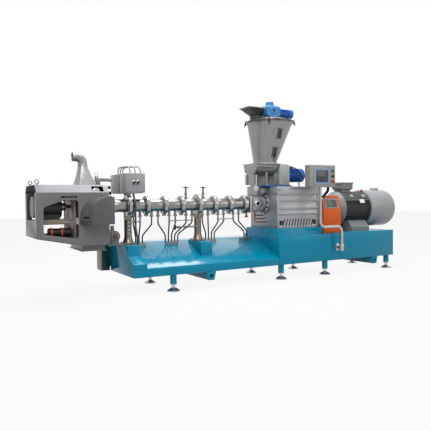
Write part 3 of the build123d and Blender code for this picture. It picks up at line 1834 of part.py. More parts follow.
def cutter_carriage():
    """Carriage plate under the motor on two rails, with the bearing plate at their end."""
    half = carriage_width / 2
    low = carriage_top - carriage_thickness
    carriage = block((carriage_start, carriage_end), (-half, half), (low, carriage_top))
    rail_start = cutter_start + cutter_sheet
    for side in (-1, 1):
        y = side * rail_spread / 2
        carriage += bar_x(rail_start, bearing_plate_start, y, rail_height, rail_radius)
        edge = sorted((side * half, y))
        carriage += block((carriage_start, carriage_end), edge, (rail_height, carriage_top))
    floor = cutter_bottom + cutter_sheet
    reach = bearing_plate_width / 2
    slope = (cutter_bottom_start - cutter_bottom) / (cutter_keel_x - cutter_start)
    lowest = floor + slope * (cutter_keel_x - bearing_plate_start)
    plate_ends = (bearing_plate_start, bearing_plate_end)
    carriage += block(plate_ends, (-reach, reach), (lowest, bearing_plate_top))
    boss_end = bearing_plate_end + bearing_boss_length
    carriage += bar_x(bearing_plate_end, boss_end, 0, barrel_height, bearing_boss_radius)
    bore = bar_x(
        bearing_plate_start - cut_overrun, boss_end + cut_overrun,
        0, barrel_height, shaft_radius + running_fit,
    )
    return carriage - bore


def cutter_shaft():
    """Shaft from the coupling to the knife hub with its blades."""
    hub_start = knife_plane - knife_hub_length
    profile = outline(
        (cutter_motor_end + thrust_gap, 0),
        (cutter_motor_end + thrust_gap, shaft_radius),
        (coupling_start, shaft_radius),
        (coupling_start, coupling_radius),
        (coupling_end, coupling_radius),
        (coupling_end, shaft_radius),
        (hub_start, shaft_radius),
        (hub_start, knife_hub_radius),
        (knife_plane, knife_hub_radius),
        (knife_plane, 0),
    )
    shaft = turned_x(profile, 0, barrel_height)
    blade = block(
        (knife_plane - knife_thickness, knife_plane),
        (-knife_width / 2, knife_width / 2),
        (0, knife_reach),
    )
    for step in range(knife_count):
        shaft += Pos(0, 0, barrel_height) * Rot(full_turn * step / knife_count, 0, 0) * blade
    return shaft


def cutter_air_tube():
    """Banded tube low inside the window, on two posts from the sloping floor."""
    y, height = air_tube_y, air_tube_height
    body = bar_x(air_tube_start, air_tube_end, y, height, air_tube_radius)
    body += bar_x(air_tube_end, air_tube_end + air_tube_hub_length, y, height, air_tube_hub_radius)
    slope = (cutter_bottom_start - cutter_bottom) / (cutter_keel_x - cutter_start)
    half = air_tube_post_width / 2
    for x in air_tube_ring_places_x:
        ends = (x, x + air_tube_ring_width)
        body += bar_x(*ends, y, height, air_tube_radius + air_tube_ring_lip)
        heights = [cutter_bottom + cutter_sheet + slope * (cutter_keel_x - end) for end in ends]
        post = outline((ends[0], heights[0]), (ends[0], height), (ends[1], height), (ends[1], heights[1]))
        body += along_y(post, y - half, y + half)
    return body


def cutter_post():
    """Square post beside the base with a pivot pin on top, held by a bracket on the base's back."""
    post = block((post_start, post_end), (post_front_y, post_back_y), (base_underside, post_top))
    bracket_heights = (post_bracket_low, post_bracket_high)
    post += block((post_end, post_bracket_length), (half_base, post_back_y), bracket_heights)
    return post + bar_z(post_top, pin_top, hinge_x, hinge_y, pin_radius)


def cutter_hinge_arm():
    """Sleeve on the pivot pin with two plates to a pad on the housing's back."""
    low = post_top + thrust_gap
    arm = bar_z(low, sleeve_top, hinge_x, hinge_y, sleeve_radius)
    pad_y = half_cutter + arm_pad_thickness
    plate = outline(
        (hinge_x, hinge_y + sleeve_radius),
        (arm_plate_far_x, pad_y),
        (arm_plate_near_x, pad_y),
        (hinge_x, hinge_y - sleeve_radius),
    )
    for height in arm_plate_heights:
        arm += along_z(plate, height, height + arm_plate_thickness)
    arm += block(
        (arm_plate_far_x, arm_plate_near_x),
        (half_cutter, pad_y),
        (arm_plate_heights[0], arm_plate_heights[1] + arm_plate_thickness),
    )
    bore = bar_z(low - cut_overrun, sleeve_top + cut_overrun, hinge_x, hinge_y, pin_radius + running_fit)
    return arm - bore


# Write every piece, with the origin under the middle of the whole

pieces = {
    "base_low_frame": base_low_frame(),
    "base_pedestals": base_pedestals(),
    "base_drive_box": base_drive_box(),
    "base_legs": base_legs(),
    "levelling_feet": levelling_feet(),
    "lifting_beams": lifting_beams(),
    "barrel_sections": barrel_sections(),
    "barrel_clamps": barrel_clamps(),
    "support_columns": support_columns(),
    "die_head": die_head(),
    "feed_block": feed_block(),
    "gearbox_adapter": gearbox_adapter(),
    "gearbox_housing": gearbox_housing(),
    "gearbox_lid": gearbox_lid(),
    "coupling_guard": coupling_guard(),
    "main_motor_body": main_motor_body(),
    "main_motor_cowl": main_motor_cowl(),
    "main_motor_terminal_box": main_motor_terminal_box(),
    "console_body": console_body(),
    "console_screen": console_screen(),
    "feeder_stand": feeder_stand(),
    "feeder_trough": feeder_trough(),
    "feed_throat": feed_throat(),
    "hopper_shell": hopper_shell(),
    "hopper_windows": hopper_windows(),
    "hopper_lid": hopper_lid(),
    "inlet_funnel": inlet_funnel(),
    "agitator_gearbox": agitator_gearbox(),
    "agitator_motor": agitator_motor(),
    "feeder_drive_box": feeder_drive_box(),
    "feeder_motor": feeder_motor(),
    "control_boxes": control_boxes(),
    "control_knobs": control_knobs(),
    "control_conduits": control_conduits(),
    "valve_bodies": valve_bodies(),
    "valve_handle_1": valve_handle(valve_places_x[0]),
    "valve_handle_2": valve_handle(valve_places_x[1]),
    "hose_fittings": hose_fittings(),
    "barrel_hoses": barrel_hoses(),
    "oil_pipes": oil_pipes(),
    "die_pump": die_pump(),
    "hmi_pivot": hmi_pivot(),
    "hmi_arm": hmi_arm(),
    "hmi_panel": hmi_panel(),
    "hmi_screen": hmi_screen(),
    "hmi_buttons": hmi_buttons(),
    "cutter_front_panel": cutter_front_panel(),
    "cutter_rear_panel": cutter_rear_panel(),
    "cutter_roof": cutter_roof(),
    "cutter_floor": cutter_floor(),
    "cutter_end_plates": cutter_end_plates(),
    "cutter_hood": cutter_hood(),
    "exhaust_duct": exhaust_duct(),
    "roof_cylinder": roof_cylinder(),
    "cutter_motor": cutter_motor(),
    "cutter_carriage": cutter_carriage(),
    "cutter_shaft": cutter_shaft(),
    "cutter_air_tube": cutter_air_tube(),
    "cutter_hinge_arm": cutter_hinge_arm(),
    "cutter_post": cutter_post(),
}

boxes = [piece.bounding_box() for piece in pieces.values()]
middle_x = (min(box.min.X for box in boxes) + max(box.max.X for box in boxes)) / 2
middle_y = (min(box.min.Y for box in boxes) + max(box.max.Y for box in boxes)) / 2
lowest_z = min(box.min.Z for box in boxes)
os.makedirs("parts", exist_ok=True)
for name, piece in pieces.items():
    export_step(Pos(-middle_x, -middle_y, -lowest_z) * piece, f"parts/{name}.step")
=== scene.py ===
import math

import bpy
from mathutils import Matrix, Vector


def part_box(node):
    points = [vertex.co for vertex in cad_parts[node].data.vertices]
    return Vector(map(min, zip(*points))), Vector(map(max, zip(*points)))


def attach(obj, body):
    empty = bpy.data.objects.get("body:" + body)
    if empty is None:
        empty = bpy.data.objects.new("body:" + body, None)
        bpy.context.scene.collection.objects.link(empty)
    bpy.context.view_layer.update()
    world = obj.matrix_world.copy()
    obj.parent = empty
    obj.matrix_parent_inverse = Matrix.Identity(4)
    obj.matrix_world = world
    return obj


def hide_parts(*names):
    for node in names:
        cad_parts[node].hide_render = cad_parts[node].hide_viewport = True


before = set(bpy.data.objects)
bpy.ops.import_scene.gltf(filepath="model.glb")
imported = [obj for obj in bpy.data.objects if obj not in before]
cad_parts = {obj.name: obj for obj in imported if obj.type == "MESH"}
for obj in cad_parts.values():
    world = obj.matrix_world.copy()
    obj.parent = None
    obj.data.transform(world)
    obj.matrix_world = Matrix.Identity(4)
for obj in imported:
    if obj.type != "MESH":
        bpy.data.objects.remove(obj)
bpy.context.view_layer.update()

# Base weldment
# Folded and welded steel plate under a sloping deck that sheds washing water.
# It is sprayed with teal machine enamel and clear coated, so the deck mirrors the hoses above it.
base_low, base_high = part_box("base_low_frame")
die_end = base_low.x
centre_line = (base_low.y + base_high.y) / 2
skirt_top = 0.300
sheet_edge, folded_edge, machined_edge, cast_edge, plate_edge, base_edge = 0.001, 0.0015, 0.002, 0.003, 0.004, 0.006
smooth_angle = math.radians(32)
flat_angle = math.radians(0.6)
weld_gap = 0.00002
pattern_range = (0.3, 0.7)
drift_scale, gloss_scale, peel_scale = 2.2, 9.0, 240.0
peel_depth = 0.0006
teal = (0.000, 0.235, 0.380)
teal_gloss = 0.15
deck_coats = (0.1, 0.9)
deck_coat_roughness = 0.14


def at(x, y, z):
    """A point by its distance from the base's die end, from the barrel's centre plane and from the floor."""
    return Vector((die_end + x, centre_line + y, z))


def fresh(name):
    """A new material with a node tree."""
    material = bpy.data.materials.new(name)
    material.use_nodes = True
    return material


def set_input(material, socket, value):
    """Sets one of the shader's sockets to a plain value."""
    material.node_tree.nodes["Principled BSDF"].inputs[socket].default_value = value


def grain(material, scale, stretch=(1, 1, 1), detail=3.0):
    """A noise on the piece's own coordinates, drawn out along the axes that have a low stretch."""
    nodes, links = material.node_tree.nodes, material.node_tree.links
    place = nodes.new("ShaderNodeTexCoord")
    mapping = nodes.new("ShaderNodeMapping")
    mapping.inputs["Scale"].default_value = stretch
    noise = nodes.new("ShaderNodeTexNoise")
    noise.inputs["Scale"].default_value = scale
    noise.inputs["Detail"].default_value = detail
    links.new(place.outputs["Object"], mapping.inputs["Vector"])
    links.new(mapping.outputs["Vector"], noise.inputs["Vector"])
    return noise.outputs["Fac"]


def spread(material, pattern, low, high, socket):
    """Feeds a pattern to one of the shader's sockets, between two values."""
    nodes, links = material.node_tree.nodes, material.node_tree.links
    reach = nodes.new("ShaderNodeMapRange")
    reach.inputs["From Min"].default_value, reach.inputs["From Max"].default_value = pattern_range
    reach.inputs["To Min"].default_value = low
    reach.inputs["To Max"].default_value = high
    links.new(pattern, reach.inputs["Value"])
    links.new(reach.outputs["Result"], nodes["Principled BSDF"].inputs[socket])


def tint(material, pattern, dark, light):
    """Lets the base colour drift between two colours with a pattern."""
    nodes, links = material.node_tree.nodes, material.node_tree.links
    ramp = nodes.new("ShaderNodeValToRGB")
    for stop, position, colour in zip(ramp.color_ramp.elements, pattern_range, (dark, light)):
        stop.position = position
        stop.color = (*colour, 1)
    links.new(pattern, ramp.inputs["Fac"])
    links.new(ramp.outputs["Color"], nodes["Principled BSDF"].inputs["Base Color"])


def dent(material, pattern, strength, depth):
    """Raises a fine relief from a pattern."""
    nodes, links = material.node_tree.nodes, material.node_tree.links
    bump = nodes.new("ShaderNodeBump")
    bump.inputs["Strength"].default_value = strength
    bump.inputs["Distance"].default_value = depth
    links.new(pattern, bump.inputs["Height"])
    links.new(bump.outputs["Normal"], nodes["Principled BSDF"].inputs["Normal"])


def shaded(colour, share):
    """A colour made darker or lighter by a share."""
    return tuple(channel * share for channel in colour)


def enamel(name, colour, roughness=0.34, coat=0.1, drift=0.06, peel=0.05, uneven=0.05):
    """Sprayed enamel: a slow drift of colour, uneven gloss and a fine orange peel under a clear coat."""
    material = fresh(name)
    set_input(material, "Specular IOR Level", 0.25)
    set_input(material, "Coat Weight", coat)
    set_input(material, "Coat Roughness", 0.06)
    tint(material, grain(material, drift_scale), shaded(colour, 1 - drift), shaded(colour, 1 + drift))
    spread(material, grain(material, gloss_scale), roughness - uneven, roughness + uneven, "Roughness")
    dent(material, grain(material, peel_scale), peel, peel_depth)
    return material


def zone(material, axis, low, high):
    """One where the piece's own coordinate on an axis lies between two values, and nothing elsewhere."""
    nodes, links = material.node_tree.nodes, material.node_tree.links
    place = nodes.new("ShaderNodeTexCoord")
    split = nodes.new("ShaderNodeSeparateXYZ")
    inside = nodes.new("ShaderNodeMath")
    inside.operation = "COMPARE"
    inside.inputs[1].default_value = (low + high) / 2
    inside.inputs[2].default_value = (high - low) / 2
    links.new(place.outputs["Object"], split.inputs["Vector"])
    links.new(split.outputs[axis], inside.inputs[0])
    return inside.outputs[0]


def both(material, first, second):
    """One where two zones overlap."""
    nodes, links = material.node_tree.nodes, material.node_tree.links
    product = nodes.new("ShaderNodeMath")
    product.operation = "MULTIPLY"
    links.new(first, product.inputs[0])
    links.new(second, product.inputs[1])
    return product.outputs[0]


def pick(*pieces):
    """Selects these pieces alone and makes the first one active."""
    bpy.ops.object.select_all(action="DESELECT")
    for piece in pieces:
        piece.select_set(True)
    bpy.context.view_layer.objects.active = pieces[0]


def open_mesh():
    """Goes into the active piece's mesh with all of it selected."""
    bpy.ops.object.mode_set(mode="EDIT")
    bpy.ops.mesh.select_all(action="SELECT")


def finish(piece, material, body):
    """Smooths a piece over its soft edges, gives it its material and lets it ride on a body."""
    pick(piece)
    bpy.ops.object.shade_smooth_by_angle(angle=smooth_angle)
    piece.data.materials.clear()
    piece.data.materials.append(material)
    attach(piece, body)


def soften(node, edge, material, body, segments=2):
    """Finishes a copy of a CAD piece with its sharp edges rounded over, which then stands for that piece."""
    piece = bpy.data.objects.new(node + "_finish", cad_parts[node].data.copy())
    bpy.context.scene.collection.objects.link(piece)
    pick(piece)
    bpy.ops.mesh.customdata_custom_splitnormals_clear()
    open_mesh()
    bpy.ops.mesh.remove_doubles(threshold=weld_gap)
    bpy.ops.mesh.dissolve_limited(angle_limit=flat_angle)
    bpy.ops.object.mode_set(mode="OBJECT")
    rounding = piece.modifiers.new("rounded_edges", "BEVEL")
    rounding.width = edge
    rounding.segments = segments
    rounding.limit_method = "ANGLE"
    rounding.angle_limit = smooth_angle
    rounding.use_clamp_overlap = True
    bpy.ops.object.modifier_apply(modifier=rounding.name)
    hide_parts(node)
    finish(piece, material, body)


def dress(node, material):
    """Gives a CAD piece that keeps its own mesh a finished material."""
    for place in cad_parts[node].material_slots:
        place.material = material


teal_enamel = enamel("teal_enamel", teal, roughness=0.20, uneven=0.03)
set_input(teal_enamel, "Specular IOR Level", teal_gloss)
for node in ("base_pedestals", "base_drive_box"):
    soften(node, base_edge, teal_enamel, "machine")
deck_enamel = teal_enamel.copy()
deck_enamel.name = "deck_teal_enamel"
deck_zone = both(
    deck_enamel,
    zone(deck_enamel, "Z", skirt_top + base_edge, base_high.z),
    zone(deck_enamel, "X", die_end + base_edge, base_high.x),
)
spread(deck_enamel, deck_zone, *deck_coats, "Coat Weight")
set_input(deck_enamel, "Coat Roughness", deck_coat_roughness)
soften("base_low_frame", base_edge, deck_enamel, "machine")

# Legs and levelling feet
# Tube legs welded under the base, each with a chromed swivel pad on a screw.
# A hexagon lock nut holds the screw against the leg.
to_front, to_die, to_drive, upward = (0, -1, 0), (-1, 0, 0), (1, 0, 0), (0, 0, 1)
lock_nut_across = 0.070
lock_nut_height = 0.020
lock_nut_bevel = 0.003
nut_end, nut_side = lock_nut_across * 0.50, lock_nut_across * 0.56
leg_x = (0.516, 2.119, 2.900, 4.154)
leg_spread = 0.360
leg_bottom = 0.092
leg_places = [at(x, side * leg_spread, leg_bottom - lock_nut_height) for x in leg_x for side in (-1, 1)]


def added(name):
    """The primitive just added, named and with its placing applied."""
    piece = bpy.context.object
    piece.name = name
    bpy.ops.object.transform_apply(location=True, rotation=True, scale=True)
    return piece


def close_mesh():
    """Turns all faces of the open mesh outward and leaves it."""
    bpy.ops.mesh.select_all(action="SELECT")
    bpy.ops.mesh.normals_make_consistent(inside=False)
    bpy.ops.object.mode_set(mode="OBJECT")


def turned(name, profile, sides=32):
    """A round piece worked up from a disc: each step of the profile is a radius and a height."""
    radius, height = profile[0]
    bpy.ops.mesh.primitive_circle_add(vertices=sides, radius=radius, fill_type="NGON", location=(0, 0, height))
    piece = added(name)
    open_mesh()
    for next_radius, next_height in profile[1:]:
        bpy.ops.mesh.extrude_region_move(TRANSFORM_OT_translate={"value": (0, 0, next_height - height)})
        share = next_radius / radius
        bpy.ops.transform.resize(value=(share, share, 1), center_override=(0, 0, next_height))
        radius, height = next_radius, next_height
    close_mesh()
    return piece


def joined(pieces):
    """Several pieces made one mesh, under the first one's name."""
    pick(*pieces)
    if len(pieces) > 1:
        bpy.ops.object.join()
    return pieces[0]


def repeat(piece, places, out):
    """Copies of an upright piece set at several places, facing along one direction, as one mesh."""
    facing = Vector(upward).rotation_difference(Vector(out)).to_matrix().to_4x4()
    name = piece.name
    copies = []
    for place in places:
        copy = bpy.data.objects.new(name, piece.data.copy())
        bpy.context.scene.collection.objects.link(copy)
        copy.data.transform(Matrix.Translation(place) @ facing)
        copies.append(copy)
    bpy.data.objects.remove(piece)
    whole = joined(copies)
    whole.name = name
    return whole


def fit_round(name, profile, places, out, material, body, sides=32):
    """A turned piece at several places that face one way, finished as one mesh."""
    finish(repeat(turned(name, profile, sides), places, out), material, body)


def steel(name, colour, roughness, stretch=(1, 1, 1), lines=0.05, scale=8.0):
    """Bare metal with brush lines, which run along the axes that have a low stretch."""
    material = fresh(name)
    set_input(material, "Metallic", 0.92)
    brush = grain(material, scale, stretch, detail=2.0)
    tint(material, brush, shaded(colour, 0.92), shaded(colour, 1.06))
    spread(material, brush, roughness - 0.03, roughness + 0.05, "Roughness")
    dent(material, brush, lines, 0.0004)
    return material


chrome = steel("polished_chrome", (0.50, 0.51, 0.53), roughness=0.12, lines=0.02)
dress("base_legs", teal_enamel)
dress("levelling_feet", chrome)
lock_nut_profile = [
    (nut_end, 0.0), (nut_side, lock_nut_bevel),
    (nut_side, lock_nut_height - lock_nut_bevel), (nut_end, lock_nut_height),
]
fit_round("foot_lock_nuts", lock_nut_profile, leg_places, upward, chrome, "machine", sides=6)

# Lifting beams
# Heavy plate beams welded across the underside, bored for a lifting bar.
# They take the same enamel as the base.
soften("lifting_beams", plate_edge, teal_enamel, "machine")

# Barrel
# Cooking sections of stainless bar, turned and brushed round, end to end.
# Bevelled hoop clamps draw each pair of flanges together with two cross bolts.
barrel_axis = 1.025
clamp_start, clamp_pitch, clamp_count = 0.089, 0.238, 8
clamp_places = [clamp_start + clamp_pitch * step for step in range(clamp_count)]
support_clamps = (0, 4)
ear_bolt_drop = 0.122
ear_half = 0.028
ring_stretch = (10, 0.3, 0.3)
barrel_steel = steel("barrel_steel", (0.26, 0.25, 0.24), 0.24, ring_stretch, lines=0.02)
clamp_steel = steel("clamp_steel", (0.35, 0.34, 0.325), 0.20, ring_stretch, lines=0.03)
bolt_steel = steel("bolt_steel", (0.22, 0.22, 0.22), 0.30)
soften("barrel_sections", folded_edge, barrel_steel, "machine")
soften("barrel_clamps", machined_edge, clamp_steel, "machine")


def hex_bolts(name, places, out, across, material=bolt_steel):
    """Hexagon bolt heads on washers, at several places that face one way."""
    half, head, washer = across / 2, across * 0.40, across * 0.12
    seat = turned("washer", [(half * 1.35, 0.0), (half * 1.35, washer), (half * 0.9, washer)], sides=20)
    profile = [(half * 1.12, washer), (half * 1.15, washer + head * 0.8), (half * 0.92, washer + head)]
    bolts = repeat(joined([turned(name, profile, sides=6), seat]), places, out)
    finish(bolts, material, "machine")


for side, word in ((-1, "front"), (1, "back")):
    ear_places = [
        at(x, side * ear_half, barrel_axis - ear_bolt_drop)
        for step, x in enumerate(clamp_places) if step not in support_clamps
    ]
    hex_bolts(f"clamp_ear_bolts_{word}", ear_places, (0, side, 0), across=0.022)

# Support columns
# Waisted cast pillars with a foot plate bolted to the pedestal and a saddle under the larger clamps.
# They are bead blasted, with a row of cover screws down the front.
column_foot_half = (0.060, 0.078)
column_foot_top = 0.574
column_waist = 0.0455
column_screw_heights = (0.690, 0.735, 0.780, 0.825)
column_steel = steel("column_steel", (0.20, 0.172, 0.138), 0.28, (0.8, 0.8, 12), lines=0.06)
soften("support_columns", cast_edge, column_steel, "machine")
foot_places = [
    at(clamp_places[step] + dx * column_foot_half[0], dy * column_foot_half[1], column_foot_top)
    for step in support_clamps for dx in (-1, 1) for dy in (-1, 1)
]
hex_bolts("column_foot_bolts", foot_places, upward, across=0.020)
column_screw_places = [at(clamp_places[0], -column_waist, height) for height in column_screw_heights]
hex_bolts("column_cover_screws", column_screw_places, to_front, across=0.016, material=chrome)

# Die head
# Turned steel head bolted to the last section, with its die plate toward the cutter.
# Its flange takes a ring of hexagon bolts.
die_bolt_radius = 0.094
die_flange_x = -0.128
die_bolt_count = 8
soften("die_head", machined_edge, barrel_steel, "machine")


def ring_of_places(x, radius, height, count, start=0.0):
    """Places round a circle that faces along the machine."""
    turns = [start + 2 * math.pi * step / count for step in range(count)]
    return [at(x, radius * math.cos(turn), height + radius * math.sin(turn)) for turn in turns]


die_places = ring_of_places(die_flange_x, die_bolt_radius, barrel_axis, die_bolt_count)
hex_bolts("die_flange_bolts", die_places, to_die, across=0.018)

# Feed block and gearbox adapter
# Square cast block where the meal drops in, with a bolted side cover round its port, and a turned adapter.
# Both are sand cast, machined on their flanges and left silver.
feed_face = 0.1075
feed_cover_x = (1.837, 1.991)
feed_cover_rise = 0.082
feed_cover_thickness = 0.007
feed_port_x = 1.914
cover_bolt_spread = (0.061, 0.064)
adapter_face_x = 2.067
adapter_bolt_radius = 0.130
adapter_bolt_count = 12
adapter_bolt_start = 0.2
casting_scale = 60.0
cast_silver = steel("cast_silver", (0.34, 0.35, 0.365), 0.38, lines=0.04, scale=casting_scale)
cover_grey = steel("cover_grey", (0.24, 0.245, 0.255), 0.38, lines=0.10, scale=casting_scale)
plug_black = enamel("port_plug_black", (0.010, 0.010, 0.011), roughness=0.45, coat=0.0)
for node in ("feed_block", "gearbox_adapter"):
    soften(node, cast_edge, cast_silver, "machine")
adapter_places = ring_of_places(
    adapter_face_x, adapter_bolt_radius, barrel_axis, adapter_bolt_count, adapter_bolt_start,
)
hex_bolts("adapter_bolts", adapter_places, to_die, across=0.030, material=chrome)


def boxed(name, low, high, edge):
    """A block between two corners with its edges rounded over."""
    low, high = Vector(low), Vector(high)
    bpy.ops.mesh.primitive_cube_add(size=1, location=(low + high) / 2, scale=high - low)
    piece = added(name)
    open_mesh()
    bpy.ops.mesh.bevel(offset=edge, segments=2, affect="EDGES")
    bpy.ops.object.mode_set(mode="OBJECT")
    return piece


cover_front = -feed_face - feed_cover_thickness
feed_cover = boxed(
    "feed_cover",
    at(feed_cover_x[0], cover_front, barrel_axis - feed_cover_rise),
    at(feed_cover_x[1], -feed_face, barrel_axis + feed_cover_rise),
    cast_edge,
)
finish(feed_cover, cover_grey, "machine")
cover_places = [
    at(feed_port_x + dx * cover_bolt_spread[0], cover_front, barrel_axis + dz * cover_bolt_spread[1])
    for dx in (-1, 1) for dz in (-1, 1)
]
hex_bolts("feed_cover_bolts", cover_places, to_front, across=0.018, material=chrome)
port_profile = [(0.044, 0.0), (0.044, 0.010), (0.038, 0.014), (0.030, 0.014), (0.028, 0.004)]
port_plug_profile = [(0.027, 0.0), (0.027, 0.008), (0.022, 0.010)]
port_place = [at(feed_port_x, cover_front, barrel_axis)]
fit_round("feed_port_ring", port_profile, port_place, to_front, chrome, "machine")
fit_round("feed_port_plug", port_plug_profile, port_place, to_front, plug_black, "machine")

# Gearbox
# Ribbed casting in silver paint: three long ribs, a band of slanted louvres between two pockets, and a thick lid.
# The lid is bolted down, carries the feeder and has an oil plug at its front corner.
gearbox_low, gearbox_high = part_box("gearbox_housing")
lid_low, lid_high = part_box("gearbox_lid")
rib_depth = 0.014
louvre_depth = 0.012
louvre_band = (0.704, 0.806)
louvre_inset = 0.112
pocket_floor_depth = 0.046
pocket_middle = 0.755
pocket_half = 0.029
pocket_insets = (0.048, 0.636)
shade_sheet_thickness = 0.001
shade_sheet_edge = 0.0002
oil_plug_inset, oil_plug_height = 0.042, 1.212
lid_bolt_steps = (0.400, 0.530, 0.690)
lid_bolt_margin = 0.030
gearbox_core = (gearbox_high.y - gearbox_low.y) / 2 - rib_depth
gearbox_silver = enamel("gearbox_silver", (0.33, 0.335, 0.345), roughness=0.40, drift=0.03, peel=0.02, uneven=0.02)
set_input(gearbox_silver, "Metallic", 0.7)
recess_painted_shade = enamel("recess_painted_shade", (0.055, 0.056, 0.058), roughness=0.5, coat=0.0)
soften("gearbox_housing", cast_edge, gearbox_silver, "machine")
soften("gearbox_lid", plate_edge, gearbox_silver, "machine")


def shade_sheet(name, side, depth, x_span, z_span):
    """A thin dark sheet of painted shade on the floor of a recess in the gearbox's front or back."""
    near, far = sorted(side * (gearbox_core - depth + offset) for offset in (0.0, shade_sheet_thickness))
    low = (x_span[0], centre_line + near, z_span[0])
    high = (x_span[1], centre_line + far, z_span[1])
    return boxed(name, low, high, shade_sheet_edge)


# Painted shade: dark sheets lie on the floors of the louvre band and of the two pockets.
louvre_x = (gearbox_low.x + louvre_inset, gearbox_high.x - louvre_inset)
pocket_z = (pocket_middle - pocket_half, pocket_middle + pocket_half)
for side, word in ((-1, "front"), (1, "back")):
    shade_sheets = [shade_sheet(f"louvre_shadow_{word}", side, louvre_depth, louvre_x, louvre_band)]
    for inset in pocket_insets:
        start = gearbox_low.x + inset
        pocket_x = (start, start + pocket_half * 2)
        shade_sheets.append(shade_sheet("pocket_shadow", side, pocket_floor_depth, pocket_x, pocket_z))
    finish(joined(shade_sheets), recess_painted_shade, "machine")
oil_plug_profile = [(0.015, 0.0), (0.015, 0.008), (0.009, 0.008), (0.009, 0.015), (0.007, 0.017)]
oil_plug_place = [Vector((lid_low.x + oil_plug_inset, lid_low.y, oil_plug_height))]
fit_round("lid_oil_plug", oil_plug_profile, oil_plug_place, to_front, bolt_steel, "machine", sides=24)
lid_bolt_places = [
    Vector((lid_low.x + dx, y, lid_high.z)) for dx in lid_bolt_steps
    for y in (lid_low.y + lid_bolt_margin, lid_high.y - lid_bolt_margin)
]
hex_bolts("lid_bolts", lid_bolt_places, upward, across=0.024)

# Coupling guard
# Arched sheet guard between the gearbox and the main motor.
# It stands on the drive box along both its feet.
dark_enamel = enamel("dark_grey_enamel", (0.050, 0.053, 0.057), roughness=0.38, coat=0.15)
soften("coupling_guard", plate_edge, dark_enamel, "machine")

# Main motor
# Cast frame with cooling fins, a drive-end shield and two feet, then a pressed fan cowl and a terminal box.
# All is sprayed grey green; the band of fins is painted near black, as painted shade in the gaps between the fins.
motor_axis = 0.927
motor_grey = (0.205, 0.228, 0.226)
fin_shade_colour = (0.035, 0.037, 0.039)
fin_shade_x = (3.436, 3.952)
fin_shade_z = (0.745, 1.045)
lug_x, lug_turn, lug_radius = (3.600, 3.850), 46, 0.262
plate_x, plate_turn, plate_radius = 3.775, 25, 0.263
cap_x, cap_turn, cap_radius = 3.930, 76, 0.258
cowl_screw_x, cowl_screw_turns, cowl_screw_radius = 4.010, (-44, 40, 140, 224), 0.2845
motor_foot_x, motor_foot_spread, motor_foot_top = (3.545, 3.795), 0.285, 0.642
lid_screw_inset = 0.020


def along(material, span):
    """A zone between two distances from the base's die end."""
    return zone(material, "X", die_end + span[0], die_end + span[1])


def painted(material, where, colour):
    """Lays another colour over a zone of a material."""
    nodes, links = material.node_tree.nodes, material.node_tree.links
    base = nodes["Principled BSDF"].inputs["Base Color"]
    over = nodes.new("ShaderNodeMix")
    over.data_type = "RGBA"
    links.new(where, over.inputs[0])
    links.new(base.links[0].from_socket, over.inputs[6])
    over.inputs[7].default_value = (*colour, 1)
    links.new(over.outputs[2], base)


motor_enamel = enamel("motor_frame_enamel", motor_grey, roughness=0.40)
# Painted shade: the frame's fin band is coloured near black for the shade between the fins.
fin_shade_zone = both(motor_enamel, along(motor_enamel, fin_shade_x), zone(motor_enamel, "Z", *fin_shade_z))
painted(motor_enamel, fin_shade_zone, fin_shade_colour)
motor_pale = enamel("motor_pale_grey", (0.300, 0.322, 0.328), roughness=0.36, coat=0.15)
terminal_grey = enamel("terminal_box_grey", (0.215, 0.232, 0.225))
plate_white = enamel("plate_white", (0.75, 0.76, 0.77), roughness=0.4)
cap_red = enamel("cap_red", (0.55, 0.030, 0.020))
dress("main_motor_body", motor_enamel)
soften("main_motor_cowl", cast_edge, motor_pale, "machine")
soften("main_motor_terminal_box", plate_edge, terminal_grey, "machine")


def on_motor(piece, x, degrees, radius):
    """Stands a piece on the motor's round frame, at an angle up from its front."""
    turn = math.radians(degrees)
    out = Vector((0, -math.cos(turn), math.sin(turn)))
    facing = Vector(upward).rotation_difference(out).to_matrix().to_4x4()
    piece.data.transform(Matrix.Translation(at(x, 0, motor_axis) + out * radius) @ facing)
    return piece


lugs = []
for x in lug_x:
    lug = boxed("motor_lifting_pads", (-0.032, -0.026, -0.012), (0.032, 0.026, 0.012), plate_edge)
    lugs.append(on_motor(lug, x, lug_turn, lug_radius))
finish(joined(lugs), motor_pale, "machine")
bare_plate = boxed("motor_bare_plate", (-0.048, -0.030, -0.010), (0.048, 0.030, 0.0025), sheet_edge)
finish(on_motor(bare_plate, plate_x, plate_turn, plate_radius), plate_white, "machine")
grease_cap_profile = [(0.010, 0.0), (0.010, 0.020), (0.016, 0.022), (0.016, 0.038), (0.011, 0.044)]
grease_cap = turned("motor_grease_cap", grease_cap_profile, sides=20)
finish(on_motor(grease_cap, cap_x, cap_turn, cap_radius), cap_red, "machine")
foot_bolt_places = [at(x, side * motor_foot_spread, motor_foot_top) for x in motor_foot_x for side in (-1, 1)]
hex_bolts("motor_foot_bolts", foot_bolt_places, upward, across=0.034)
screw_profile = [(0.007, 0.0), (0.007, 0.002), (0.005, 0.004)]
screw_sides = 16
cowl_screws = [
    on_motor(turned("cowl_screws", screw_profile, screw_sides), cowl_screw_x, degrees, cowl_screw_radius)
    for degrees in cowl_screw_turns
]
finish(joined(cowl_screws), chrome, "machine")
box_low, box_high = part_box("main_motor_terminal_box")
lid_screw_places = [
    Vector((x, y, box_high.z)) for x in (box_low.x + lid_screw_inset, box_high.x - lid_screw_inset)
    for y in (box_low.y + lid_screw_inset, box_high.y - lid_screw_inset)
]
fit_round("terminal_lid_screws", screw_profile, lid_screw_places, upward, chrome, "machine", screw_sides)

